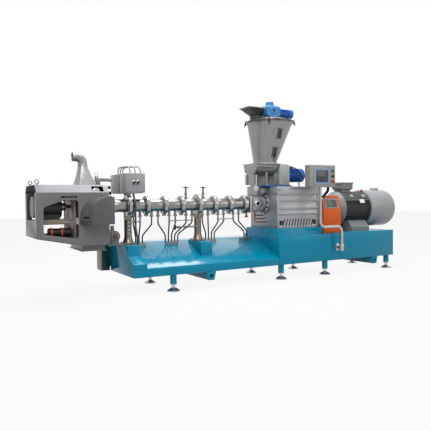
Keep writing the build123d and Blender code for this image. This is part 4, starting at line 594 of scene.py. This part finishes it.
# Operator console
# Folded steel box in orange enamel, with a leaning front that holds a flat display in a grey frame.
# The display's glass lies a little proud of its frame.
console_lean = math.atan2(0.050, 0.225)
console_middle = at(3.0225, -0.365, 1.0125)
console_edge = 0.010
glass_half = (0.098, 0.054)
glass_thickness = 0.004
orange = enamel("orange_enamel", (0.670, 0.105, 0.004), coat=0.0)
console_frame = enamel("console_frame_grey", (0.300, 0.310, 0.330), peel=0.0)
soften("console_body", console_edge, orange, "machine", segments=3)
soften("console_screen", cast_edge, console_frame, "machine")


def glass(name, colour):
    """Display glass: dark and smooth, with a faint cloudiness."""
    material = fresh(name)
    set_input(material, "Specular IOR Level", 0.4)
    tint(material, grain(material, 6.0), shaded(colour, 0.92), shaded(colour, 1.08))
    spread(material, grain(material, 16.0), 0.10, 0.16, "Roughness")
    return material


console_glass = boxed(
    "console_glass",
    (-glass_half[0], -glass_half[1], -glass_thickness),
    (glass_half[0], glass_half[1], glass_thickness * 0.5),
    folded_edge,
)
lean = Matrix.Rotation(math.pi / 2 - console_lean, 4, "X")
outward = Vector((0, -math.cos(console_lean), math.sin(console_lean))) * glass_thickness
console_glass.data.transform(Matrix.Translation(console_middle + outward) @ lean)
finish(console_glass, glass("console_glass_grey", (0.075, 0.080, 0.088)), "machine")

# Feeder stand, trough and throat
# A blue plate with two saddles carries the closed screw trough; a drop tube leads down to the feed block.
# The trough's end plate is bolted on, below the hopper's seat.
trough_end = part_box("feeder_trough")[0].x - die_end
trough_axis = 1.545
trough_bolt_radius, trough_bolt_count, trough_bolt_top = 0.141, 12, trough_axis + 0.02
stand_plate = (1.250, 1.278)
deep_blue = (0.006, 0.100, 0.430)
sheet_steel = steel("sheet_steel", (0.30, 0.297, 0.29), 0.28, (6, 6, 0.5), lines=0.02)
blue = enamel("blue_enamel", deep_blue, roughness=0.28)
stand_grey = enamel("stand_grey", (0.300, 0.300, 0.295), roughness=0.36)
painted(stand_grey, zone(stand_grey, "Z", *stand_plate), deep_blue)
soften("feeder_stand", machined_edge, stand_grey, "machine")
for node in ("feeder_trough", "feed_throat"):
    soften(node, machined_edge, sheet_steel, "machine")
trough_places = [
    place for place in ring_of_places(trough_end, trough_bolt_radius, trough_axis, trough_bolt_count)
    if place.z < trough_bolt_top
]
hex_bolts("trough_end_bolts", trough_places, to_die, across=0.014)

# Hopper, lid and inlet funnel
# Oblique cone of rolled stainless sheet with a clamped rim and a flat-topped lid; a square funnel stands on the lid.
# Two framed sight glasses are set in its front, and four toggle clamps hold the lid down.
hopper_bottom = (2.125, 0.160, 1.590)
hopper_top = (2.212, 0.317, 2.145)
rim_radius = 0.335
rim_band = (2.147, 2.173)
hoop_clearance = 0.003
sheet_wall = 0.004
seat_bolt_radius = 0.169
seat_bolt_turns = [math.radians(22.5 + 45 * step) for step in range(8)]
window_shares = (0.25, 0.70)
window_turn = math.radians(-91)
window_glass_half = (0.023, 0.064)
pane_back, pane_front = 0.009, 0.014
toggle_turns = [math.radians(degrees) for degrees in (143, 53, -37, -127)]
toggle_height = 2.160
lip_width, lip_depth = 0.007, 0.010
hopper_steel = steel("hopper_steel", (0.27, 0.266, 0.258), 0.28, (5, 5, 0.2), lines=0.015)
frame_grey = steel("window_frame_grey", (0.16, 0.16, 0.155), 0.36)
funnel_steel = steel("funnel_steel", (0.060, 0.060, 0.058), 0.34, (5, 5, 0.4), lines=0.02)
hoop_steel = steel("hoop_dark_steel", (0.075, 0.075, 0.075), 0.34)
clamp_black = enamel("clamp_black", (0.014, 0.014, 0.015), roughness=0.42, coat=0.0)
soften("hopper_shell", sheet_edge, hopper_steel, "machine")
dress("hopper_windows", frame_grey)
soften("hopper_lid", sheet_edge, sheet_steel, "machine")
soften("inlet_funnel", sheet_edge, funnel_steel, "machine")
cone_lean = math.atan2(hopper_top[1] - hopper_bottom[1], hopper_top[2] - hopper_bottom[2])
window_panes = []
for share in window_shares:
    middle_x, radius, height = (low + (high - low) * share for low, high in zip(hopper_bottom, hopper_top))
    pane = boxed(
        "sight_glass",
        (pane_back, -window_glass_half[0], -window_glass_half[1]),
        (pane_front, window_glass_half[0], window_glass_half[1]),
        sheet_edge,
    )
    foot = at(middle_x + radius * math.cos(window_turn), radius * math.sin(window_turn), height)
    stance = Matrix.Rotation(window_turn, 4, "Z") @ Matrix.Rotation(cone_lean, 4, "Y")
    pane.data.transform(Matrix.Translation(foot) @ stance)
    window_panes.append(pane)
finish(joined(window_panes), glass("sight_glass_dark", (0.022, 0.022, 0.020)), "machine")


def open_tube(name, radius, length, place, turn):
    """A sheet tube, open at both ends, along the upright or turned to lie along the machine."""
    bpy.ops.mesh.primitive_cylinder_add(
        vertices=96, radius=radius, depth=length, end_fill_type="NOTHING", location=place, rotation=turn,
    )
    piece = added(name)
    thickness = piece.modifiers.new("sheet_wall", "SOLIDIFY")
    thickness.thickness = sheet_wall
    bpy.ops.object.modifier_apply(modifier=thickness.name)
    return piece


hoop_place = at(hopper_top[0], 0, sum(rim_band) / 2)
rim_hoop = open_tube("hopper_rim_hoop", rim_radius + hoop_clearance, rim_band[1] - rim_band[0], hoop_place, (0, 0, 0))
finish(rim_hoop, hoop_steel, "machine")
toggles = []
for turn in toggle_turns:
    block = boxed("rim_toggles", (-0.004, -0.014, -0.034), (0.016, 0.014, 0.022), cast_edge)
    lever = boxed("lever", (0.012, -0.008, -0.060), (0.022, 0.008, -0.010), cast_edge)
    toggle = joined([block, lever])
    foot = at(hopper_top[0] + rim_radius * math.cos(turn), rim_radius * math.sin(turn), toggle_height)
    toggle.data.transform(Matrix.Translation(foot) @ Matrix.Rotation(turn, 4, "Z"))
    toggles.append(toggle)
finish(joined(toggles), clamp_black, "machine")
seat_places = [
    at(hopper_bottom[0] + seat_bolt_radius * math.cos(turn), seat_bolt_radius * math.sin(turn), hopper_bottom[2])
    for turn in seat_bolt_turns
]
hex_bolts("hopper_seat_bolts", seat_places, upward, across=0.012)
funnel_low, funnel_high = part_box("inlet_funnel")
mouth = funnel_high.y - funnel_low.y
mouth_middle = (funnel_low.x + mouth / 2, funnel_low.y + mouth / 2, funnel_high.z)
bpy.ops.mesh.primitive_plane_add(size=mouth + lip_width, location=mouth_middle)
funnel_lip = added("funnel_lip")
open_mesh()
bpy.ops.mesh.inset(thickness=lip_width)
bpy.ops.mesh.delete(type="FACE")
bpy.ops.mesh.select_all(action="SELECT")
bpy.ops.mesh.extrude_region_move(TRANSFORM_OT_translate={"value": (0, 0, -lip_depth)})
close_mesh()
finish(funnel_lip, hopper_steel, "machine")

# Agitator drive
# Right-angle gear case in light blue enamel with a small finned motor, bolted through a flange to the lid.
# A round inspection cover with a dark breather sits on its front.
case_front = -0.095
case_cover_place = [at(2.216, case_front, 2.322)]
case_bolt_places = [at(x, case_front, z) for x in (2.122, 2.310) for z in (2.280, 2.362)]
case_edge = 0.005
light_blue = enamel("light_blue_enamel", (0.040, 0.225, 0.520))
soften("agitator_gearbox", case_edge, light_blue, "machine")
dress("agitator_motor", blue)
case_cover_profile = [(0.052, 0.0), (0.052, 0.006), (0.046, 0.010), (0.022, 0.010), (0.020, 0.006)]
breather_profile = [(0.017, 0.0), (0.017, 0.014), (0.012, 0.018)]
fit_round("gear_case_cover", case_cover_profile, case_cover_place, to_front, light_blue, "machine")
fit_round(
    "gear_case_breather", breather_profile, case_cover_place, to_front,
    clamp_black, "machine", sides=24,
)
hex_bolts("gear_case_bolts", case_bolt_places, to_front, across=0.016)

# Feeder drive box and motor
# Folded box in pale grey with a screwed cover, and a flanged blue motor on its end.
# The motor's terminal box sits on top and its lead runs down to the gearbox lid.
drive_low, drive_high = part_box("feeder_drive_box")
drive_box_edge = 0.006
drive_screw_x = (drive_low.x + 0.016, drive_high.x - 0.016)
drive_screw_z = (drive_low.z + 0.020, (drive_low.z + drive_high.z) / 2, drive_high.z - 0.024)
pale_grey = enamel("pale_grey_enamel", (0.440, 0.480, 0.455))
soften("feeder_drive_box", drive_box_edge, pale_grey, "machine")
dress("feeder_motor", blue)
drive_screw_places = [Vector((x, drive_low.y, z)) for x in drive_screw_x for z in drive_screw_z]
fit_round("drive_box_screws", screw_profile, drive_screw_places, to_front, chrome, "machine", screw_sides)

# Control boxes
# Two folded boxes in grey enamel over the first clamp, joined by a ribbed neck painted near black, partly for its own
# darker colour and partly as painted shade between the boxes.
# The front door carries two rotary switches with chromed bezels; bowed conduits cross the top.
control_front = -0.099
control_x = (0.030, 0.280)
control_z = (1.180, 1.411)
neck_y = (0.106, 0.150)
lead_x = (2.4, 2.9)
switch_places = [at(x, control_front, 1.302) for x in (0.138, 0.190)]
switch_turn = math.radians(32)
door_margin = 0.010
plate_proud, plate_sunk = 0.003, 0.002
grey = enamel("machine_grey_enamel", (0.178, 0.180, 0.188), roughness=0.36)
box_grey = enamel("control_box_grey", (0.320, 0.323, 0.336), roughness=0.36)
# The neck is painted near black: partly its own colour, partly painted shade where it lies sunk between the boxes.
painted(box_grey, zone(box_grey, "Y", centre_line + neck_y[0], centre_line + neck_y[1]), (0.045, 0.045, 0.047))
black = enamel("black_plastic", (0.012, 0.012, 0.013), roughness=0.40, coat=0.05, peel=0.15)
conduit_grey = enamel("conduit_grey", (0.400, 0.410, 0.425), roughness=0.42)
painted(conduit_grey, along(conduit_grey, lead_x), (0.014, 0.014, 0.015))
painted(conduit_grey, zone(conduit_grey, "Z", base_low.z, control_z[0]), (0.060, 0.064, 0.070))
soften("control_boxes", plate_edge, box_grey, "machine")
dress("control_conduits", conduit_grey)
door = boxed(
    "control_door",
    at(control_x[0] + door_margin, control_front - plate_proud, control_z[0] + door_margin),
    at(control_x[1] - door_margin, control_front + plate_sunk, control_z[1] - door_margin),
    machined_edge,
)
finish(door, box_grey, "machine")
bezel_profile = [(0.025, 0.0), (0.025, 0.007), (0.021, 0.011), (0.016, 0.011)]
fit_round("switch_bezels", bezel_profile, switch_places, to_front, chrome, "machine")
hub_profile = [(0.016, 0.008), (0.016, 0.017), (0.013, 0.019)]
levers = [repeat(turned("switch_levers", hub_profile, sides=24), switch_places, to_front)]
for place in switch_places:
    bar = boxed("bar", (-0.007, -0.028, -0.030), (0.007, -0.012, 0.018), cast_edge)
    bar.data.transform(Matrix.Translation(place) @ Matrix.Rotation(switch_turn, 4, "Y"))
    levers.append(bar)
switch_levers = joined(levers)
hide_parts("control_knobs")
finish(switch_levers, black, "machine")

# Barrel valves
# Small stem valves with blue winged handles, and a hand valve on a pipe beside the middle column.
# The hand valve's wheel is black.
wheel_x = (0.660, 0.730)
valve_steel = steel("valve_steel", (0.22, 0.21, 0.20), 0.32)
painted(valve_steel, along(valve_steel, wheel_x), (0.010, 0.010, 0.010))
dress("valve_bodies", valve_steel)
for step, body in ((1, "front_valve_handle"), (2, "rear_valve_handle")):
    soften(f"valve_handle_{step}", machined_edge, blue, body)

# Hoses and pipes
# Rubber hoses from the barrel's connectors to glands on the deck, and copper oil pipes under the feed block.
# Thin stainless cross pipes join some of the hoses below their connectors.
hose_shares = (0.30, 0.66)
hose_places = [place + clamp_pitch * share for place in clamp_places[:-1] for share in hose_shares]
cross_pipe_runs = ((0, 1), (4, 7), (10, 12))
cross_pipe_height = 0.826
cross_pipe_radius = 0.006
tee_profile = [(0.010, -0.018), (0.014, -0.014), (0.014, 0.014), (0.010, 0.018)]
hose_rubber = enamel("hose_rubber", (0.016, 0.028, 0.032), roughness=0.42, coat=0.0, peel=0.2)
copper = steel("copper_pipe", (0.30, 0.125, 0.055), 0.30)
pipe_steel = steel("pipe_steel", (0.26, 0.26, 0.255), 0.28)
dress("hose_fittings", bolt_steel)
dress("barrel_hoses", hose_rubber)
dress("oil_pipes", copper)
cross_pipes = []
for first, last in cross_pipe_runs:
    tee_places = [at(x, 0, cross_pipe_height) for x in hose_places[first:last + 1]]
    rod_profile = [(cross_pipe_radius, 0.0), (cross_pipe_radius, hose_places[last] - hose_places[first])]
    cross_pipes.append(repeat(turned("cross_pipes", rod_profile, sides=16), tee_places[:1], to_drive))
    cross_pipes.append(repeat(turned("tee", tee_profile, sides=20), tee_places, upward))
finish(joined(cross_pipes), pipe_steel, "machine")

# Pump at the die end
# Small cast gear pump on a plate over the pedestal, with a bolted cover and a brown bushing in its middle.
# It is painted grey over the rough casting.
pump_x, pump_y, pump_z = -0.106, -0.106, 0.668
pump_bolt_radius = 0.042
pump_bolt_turns = [math.radians(30 + 60 * step) for step in range(6)]
pump_grey = enamel("pump_grey", (0.200, 0.200, 0.195), roughness=0.42, coat=0.0, peel=0.2)
bushing_brown = enamel("bushing_brown", (0.120, 0.050, 0.030), roughness=0.4)
soften("die_pump", machined_edge, pump_grey, "machine")
pump_bolt_places = [
    at(pump_x + pump_bolt_radius * math.cos(turn), pump_y, pump_z + pump_bolt_radius * math.sin(turn))
    for turn in pump_bolt_turns
]
hex_bolts("pump_bolts", pump_bolt_places, to_front, across=0.014)
bushing_profile = [(0.026, 0.0), (0.026, 0.008), (0.022, 0.010), (0.012, 0.010), (0.011, 0.004)]
bushing_place = [at(pump_x, pump_y, pump_z)]
fit_round("pump_bushing", bushing_profile, bushing_place, to_front, bushing_brown, "machine")

# Operator panel
# Sheet panel with a display and three buttons on a bent stainless arm that swings on the base's front.
# A black conduit comes out of its underside and enters the arm.
panel_front = -0.575
button_x = 2.859
button_looks = (
    ("button_green", 1.462, (0.010, 0.220, 0.130)),
    ("button_black", 1.390, (0.010, 0.010, 0.011)),
    ("button_red", 1.318, (0.620, 0.022, 0.018)),
)
bezel_margin = 0.034
display_proud, display_sunk = 0.0025, 0.0020
conduit_x = (2.704, 3.000)
conduit_z = (1.030, 1.260)
panel_beige = enamel("panel_beige", (0.320, 0.300, 0.270), roughness=0.36, coat=0.15)
bezel_blue = enamel("bezel_blue_grey", (0.235, 0.330, 0.470), roughness=0.32, coat=0.15)
arm_steel = steel("arm_steel", (0.42, 0.41, 0.40), 0.20, (6, 6, 0.6), lines=0.04)
conduit_zone = both(arm_steel, along(arm_steel, conduit_x), zone(arm_steel, "Z", *conduit_z))
painted(arm_steel, conduit_zone, (0.008, 0.008, 0.008))
soften("hmi_pivot", machined_edge, arm_steel, "machine")
dress("hmi_arm", arm_steel)
soften("hmi_panel", plate_edge, panel_beige, "operator_panel")
soften("hmi_screen", machined_edge, bezel_blue, "operator_panel")
bezel_low, bezel_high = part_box("hmi_screen")
display = boxed(
    "panel_display",
    (bezel_low.x + bezel_margin, bezel_low.y - display_proud, bezel_low.z + bezel_margin),
    (bezel_high.x - bezel_margin, bezel_low.y + display_sunk, bezel_high.z - bezel_margin),
    sheet_edge,
)
finish(display, glass("panel_display_glass", (0.045, 0.056, 0.070)), "operator_panel")
collar_profile = [(0.021, 0.0), (0.021, 0.004), (0.018, 0.006), (0.014, 0.006)]
collar_places = [at(button_x, panel_front, height) for look, height, colour in button_looks]
fit_round("button_collars", collar_profile, collar_places, to_front, black, "operator_panel")
flat_head = [(0.014, 0.004), (0.014, 0.016), (0.012, 0.020)]
mushroom_head = [(0.012, 0.004), (0.012, 0.010), (0.021, 0.011), (0.021, 0.017), (0.016, 0.021)]
for look, height, colour in button_looks:
    head = mushroom_head if look == "button_red" else flat_head
    button = repeat(turned(look, head), [at(button_x, panel_front, height)], to_front)
    if look == "button_black":
        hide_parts("hmi_buttons")
    plastic = enamel(look + "_plastic", colour, roughness=0.3, peel=0.0)
    finish(button, plastic, "operator_panel")

# Cutter housing
# Folded sheet housing in grey enamel with a shaped window in each long side, open at its far end.
# The roof opens over the polished knife shroud; hand screws hold the die end shut, and a black block fills the
# opening's die end as painted shade.
shroud_radius = 0.212
shroud_x = (-0.584, -0.285)
knob_places = [at(-0.247, y, z) for y, z in ((-0.274, 1.236), (-0.302, 1.172), (-0.312, 1.122))]
opening_shade_x = (-0.2515, -0.2455)
opening_shade_half_widths = (0.327, 0.248)
opening_shade_z = (1.175, 1.2585)
shroud_cap_place = [at(-0.368, -0.152, 1.186)]
hood_grey = enamel("hood_grey_enamel", (0.105, 0.105, 0.106), roughness=0.30)
# Painted light: the upward-facing roof takes a lighter copy of the housing grey.
roof_painted_light_grey = enamel("roof_grey_enamel", (0.215, 0.216, 0.230))
for node in ("cutter_front_panel", "cutter_rear_panel", "cutter_end_plates", "cutter_floor"):
    soften(node, folded_edge, grey, "cutter")
soften("cutter_hood", folded_edge, hood_grey, "cutter")
soften("cutter_roof", folded_edge, roof_painted_light_grey, "cutter")
shroud_place = at(sum(shroud_x) / 2, 0, barrel_axis)
shroud = open_tube("knife_shroud", shroud_radius, shroud_x[1] - shroud_x[0], shroud_place, (0, math.pi / 2, 0))
finish(shroud, clamp_steel, "cutter")
knob_profile = [(0.007, 0.0), (0.007, 0.016), (0.020, 0.018), (0.022, 0.024), (0.020, 0.034), (0.012, 0.037)]
fit_round("cutter_hand_screws", knob_profile, knob_places, to_drive, black, "cutter", sides=24)
# Painted shade: a black tapered block stands in the roof opening's die end, from the shroud's top up to the roof.
opening_shade_taper = opening_shade_half_widths[1] / opening_shade_half_widths[0]
bpy.ops.mesh.primitive_plane_add(size=1, location=at(sum(opening_shade_x) / 2, 0, opening_shade_z[0]))
bpy.context.object.scale = (opening_shade_x[1] - opening_shade_x[0], 2 * opening_shade_half_widths[0], 1)
opening_shade = added("roof_opening_shade")
open_mesh()
bpy.ops.mesh.extrude_region_move(TRANSFORM_OT_translate={"value": (0, 0, opening_shade_z[1] - opening_shade_z[0])})
bpy.ops.transform.resize(value=(1, opening_shade_taper, 1), center_override=at(0, 0, opening_shade_z[1]))
close_mesh()
finish(opening_shade, black, "cutter")
cap_profile = [(0.049, 0.0), (0.049, 0.100), (0.046, 0.106), (0.040, 0.108), (0.038, 0.103), (0.020, 0.104)]
fit_round("shroud_cap", cap_profile, shroud_cap_place, to_front, chrome, "cutter")

# Exhaust duct and roof cylinder
# Rolled stainless transition with an elbow, banded at its joint, and a clamping cylinder that lies over the roof.
# A wire ring on the cylinder's end is for pulling it by hand.
band_place = at(-0.446, 0, 1.497)
pull_ring_place = at(-0.305, -0.060, 1.392)
duct_steel = steel("duct_steel", (0.27, 0.275, 0.275), 0.34, (4, 4, 0.5), lines=0.01)
soften("exhaust_duct", sheet_edge, duct_steel, "cutter")
soften("roof_cylinder", machined_edge, duct_steel, "cutter")


def wire_ring(name, radius, wire, place, turn, flatten):
    """A ring of wire or strip, drawn out along one axis."""
    bpy.ops.mesh.primitive_torus_add(
        major_radius=radius, minor_radius=wire, major_segments=48, minor_segments=10, location=place, rotation=turn,
    )
    piece = added(name)
    open_mesh()
    bpy.ops.transform.resize(value=flatten, center_override=place)
    bpy.ops.object.mode_set(mode="OBJECT")
    return piece


duct_band = wire_ring("duct_band", 0.0535, 0.0035, band_place, (0, 0, 0), flatten=(1, 1, 1.8))
pull_ring = wire_ring("cylinder_pull_ring", 0.024, 0.003, pull_ring_place, (math.pi / 2, 0, 0), flatten=(0.8, 1, 1))
for ring in (duct_band, pull_ring):
    finish(ring, bolt_steel, "cutter")

# Cutter drive
# Finned motor on a carriage with two rails, a bearing plate and the knife shaft.
# An air tube with two orange bands lies under the carriage.
band_places = [at(x, -0.170, 0.742) for x in (-0.859, -0.749)]
fan_cover_place = [at(-1.008, 0, barrel_axis)]
carriage_beige = enamel("carriage_beige", (0.360, 0.310, 0.245), roughness=0.42, coat=0.05)
ring_orange = enamel("ring_orange", (0.72, 0.085, 0.015), roughness=0.4)
fan_cover_grey = enamel("fan_cover_grey", (0.235, 0.245, 0.255), roughness=0.4)
dress("cutter_motor", dark_enamel)
soften("cutter_carriage", machined_edge, carriage_beige, "cutter")
soften("cutter_shaft", sheet_edge, bolt_steel, "cutter_rotor")
dress("cutter_air_tube", black)
ring_profile = [(0.052, 0.0), (0.0578, 0.001), (0.0578, 0.017), (0.052, 0.018)]
fit_round("air_tube_rings", ring_profile, band_places, to_drive, ring_orange, "cutter", sides=48)
grille_profile = [
    (0.119, -0.060), (0.119, 0.000), (0.112, 0.006), (0.092, 0.006), (0.090, 0.003), (0.080, 0.003),
    (0.078, 0.006), (0.062, 0.006), (0.060, 0.003), (0.050, 0.003), (0.048, 0.006), (0.030, 0.006), (0.028, 0.004),
]
fit_round(
    "cutter_fan_cover", grille_profile, fan_cover_place, to_die,
    fan_cover_grey, "cutter", sides=48,
)

# Post and hinge arm
# Square post beside the base with a pin, and the arm that the cutter swings on.
# A beige cover plate closes the post's outer side.
post_low, post_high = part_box("cutter_post")
post_top = 0.690
plate_inset = 0.004
post_teal = enamel("post_dark_teal", (0.003, 0.055, 0.065))
soften("cutter_post", cast_edge, post_teal, "machine")
soften("cutter_hinge_arm", cast_edge, dark_enamel, "cutter")
cover_plate = boxed(
    "post_cover_plate",
    (post_low.x - plate_proud, post_low.y + plate_inset, post_low.z + plate_inset),
    (post_low.x + plate_sunk, post_high.y - plate_inset, post_top - plate_inset),
    sheet_edge,
)
finish(cover_plate, carriage_beige, "machine")

# Studio
# Pale floor and a white surround, soft lamps from the front and above.
# The camera stands where the photograph was taken.
floor_size = 60.0
floor_lift = -0.001
floor_share = 0.91
floor_colour = (0.50, 0.50, 0.50, 1)
surround_level = 0.28
lamp_target = at(1.7, 0, 0.8)
lamps = (
    ("key_lamp", at(-1.5, -6.0, 6.0), 4.0, 260),
    ("fill_lamp", at(6.5, -6.0, 3.5), 4.0, 80),
    ("top_lamp", at(1.7, 0.5, 7.0), 5.0, 560),
)
camera_from_base = Vector((-2.003, -5.343, 1.080))
camera_yaw, camera_pitch, camera_roll = (math.radians(angle) for angle in (29.915, 1.768, -0.673))
focal_pixels, frame_pixels, sensor_width = 500.0, 431.0, 36.0
camera_reach = 100.0
bpy.ops.mesh.primitive_plane_add(size=floor_size, location=(0, 0, floor_lift))
floor = bpy.context.object
floor.name = "studio_floor"


def seen_white(tree):
    """One for rays that come from the camera or through a reflection or glass, and nothing for the rest."""
    rays = tree.nodes.new("ShaderNodeLightPath")
    seen = rays.outputs["Is Camera Ray"]
    for kind in ("Is Glossy Ray", "Is Transmission Ray"):
        either = tree.nodes.new("ShaderNodeMath")
        either.operation = "MAXIMUM"
        tree.links.new(seen, either.inputs[0])
        tree.links.new(rays.outputs[kind], either.inputs[1])
        seen = either.outputs[0]
    return seen


floor_material = fresh("studio_floor_white")
tree = floor_material.node_tree
tree.nodes.remove(tree.nodes["Principled BSDF"])
matt = tree.nodes.new("ShaderNodeBsdfDiffuse")
matt.inputs["Color"].default_value = floor_colour
glow = tree.nodes.new("ShaderNodeEmission")
lit_share = tree.nodes.new("ShaderNodeMath")
lit_share.operation = "MULTIPLY"
lit_share.inputs[1].default_value = floor_share
mix = tree.nodes.new("ShaderNodeMixShader")
tree.links.new(seen_white(tree), lit_share.inputs[0])
tree.links.new(lit_share.outputs[0], mix.inputs["Fac"])
tree.links.new(matt.outputs["BSDF"], mix.inputs[1])
tree.links.new(glow.outputs["Emission"], mix.inputs[2])
tree.links.new(mix.outputs["Shader"], tree.nodes["Material Output"].inputs["Surface"])
floor.data.materials.append(floor_material)

world = bpy.data.worlds.new("studio_surround")
world.use_nodes = True
bpy.context.scene.world = world
tree = world.node_tree
level = tree.nodes.new("ShaderNodeMapRange")
level.inputs["To Min"].default_value = surround_level
level.inputs["To Max"].default_value = 1.0
tree.links.new(seen_white(tree), level.inputs["Value"])
tree.links.new(level.outputs["Result"], tree.nodes["Background"].inputs["Strength"])
tree.nodes["Background"].inputs["Color"].default_value = (1, 1, 1, 1)

for name, place, size, power in lamps:
    lamp = bpy.data.lights.new(name, "AREA")
    lamp.size = size
    lamp.energy = power
    holder = bpy.data.objects.new(name, lamp)
    bpy.context.scene.collection.objects.link(holder)
    holder.location = place
    holder.rotation_euler = (lamp_target - place).to_track_quat("-Z", "Y").to_euler()

camera_data = bpy.data.cameras.new("camera")
camera_data.sensor_width = sensor_width
camera_data.lens = focal_pixels / frame_pixels * sensor_width
camera_data.clip_end = camera_reach
camera = bpy.data.objects.new("camera", camera_data)
bpy.context.scene.collection.objects.link(camera)
base_corner = Vector((base_low.x, base_low.y, 0))
aim = Matrix.Rotation(-camera_yaw, 4, "Z") @ Matrix.Rotation(math.pi / 2 - camera_pitch, 4, "X")
camera.matrix_world = Matrix.Translation(base_corner + camera_from_base) @ aim @ Matrix.Rotation(camera_roll, 4, "Z")
bpy.context.scene.camera = camera
bpy.context.scene.view_settings.view_transform = "Standard"
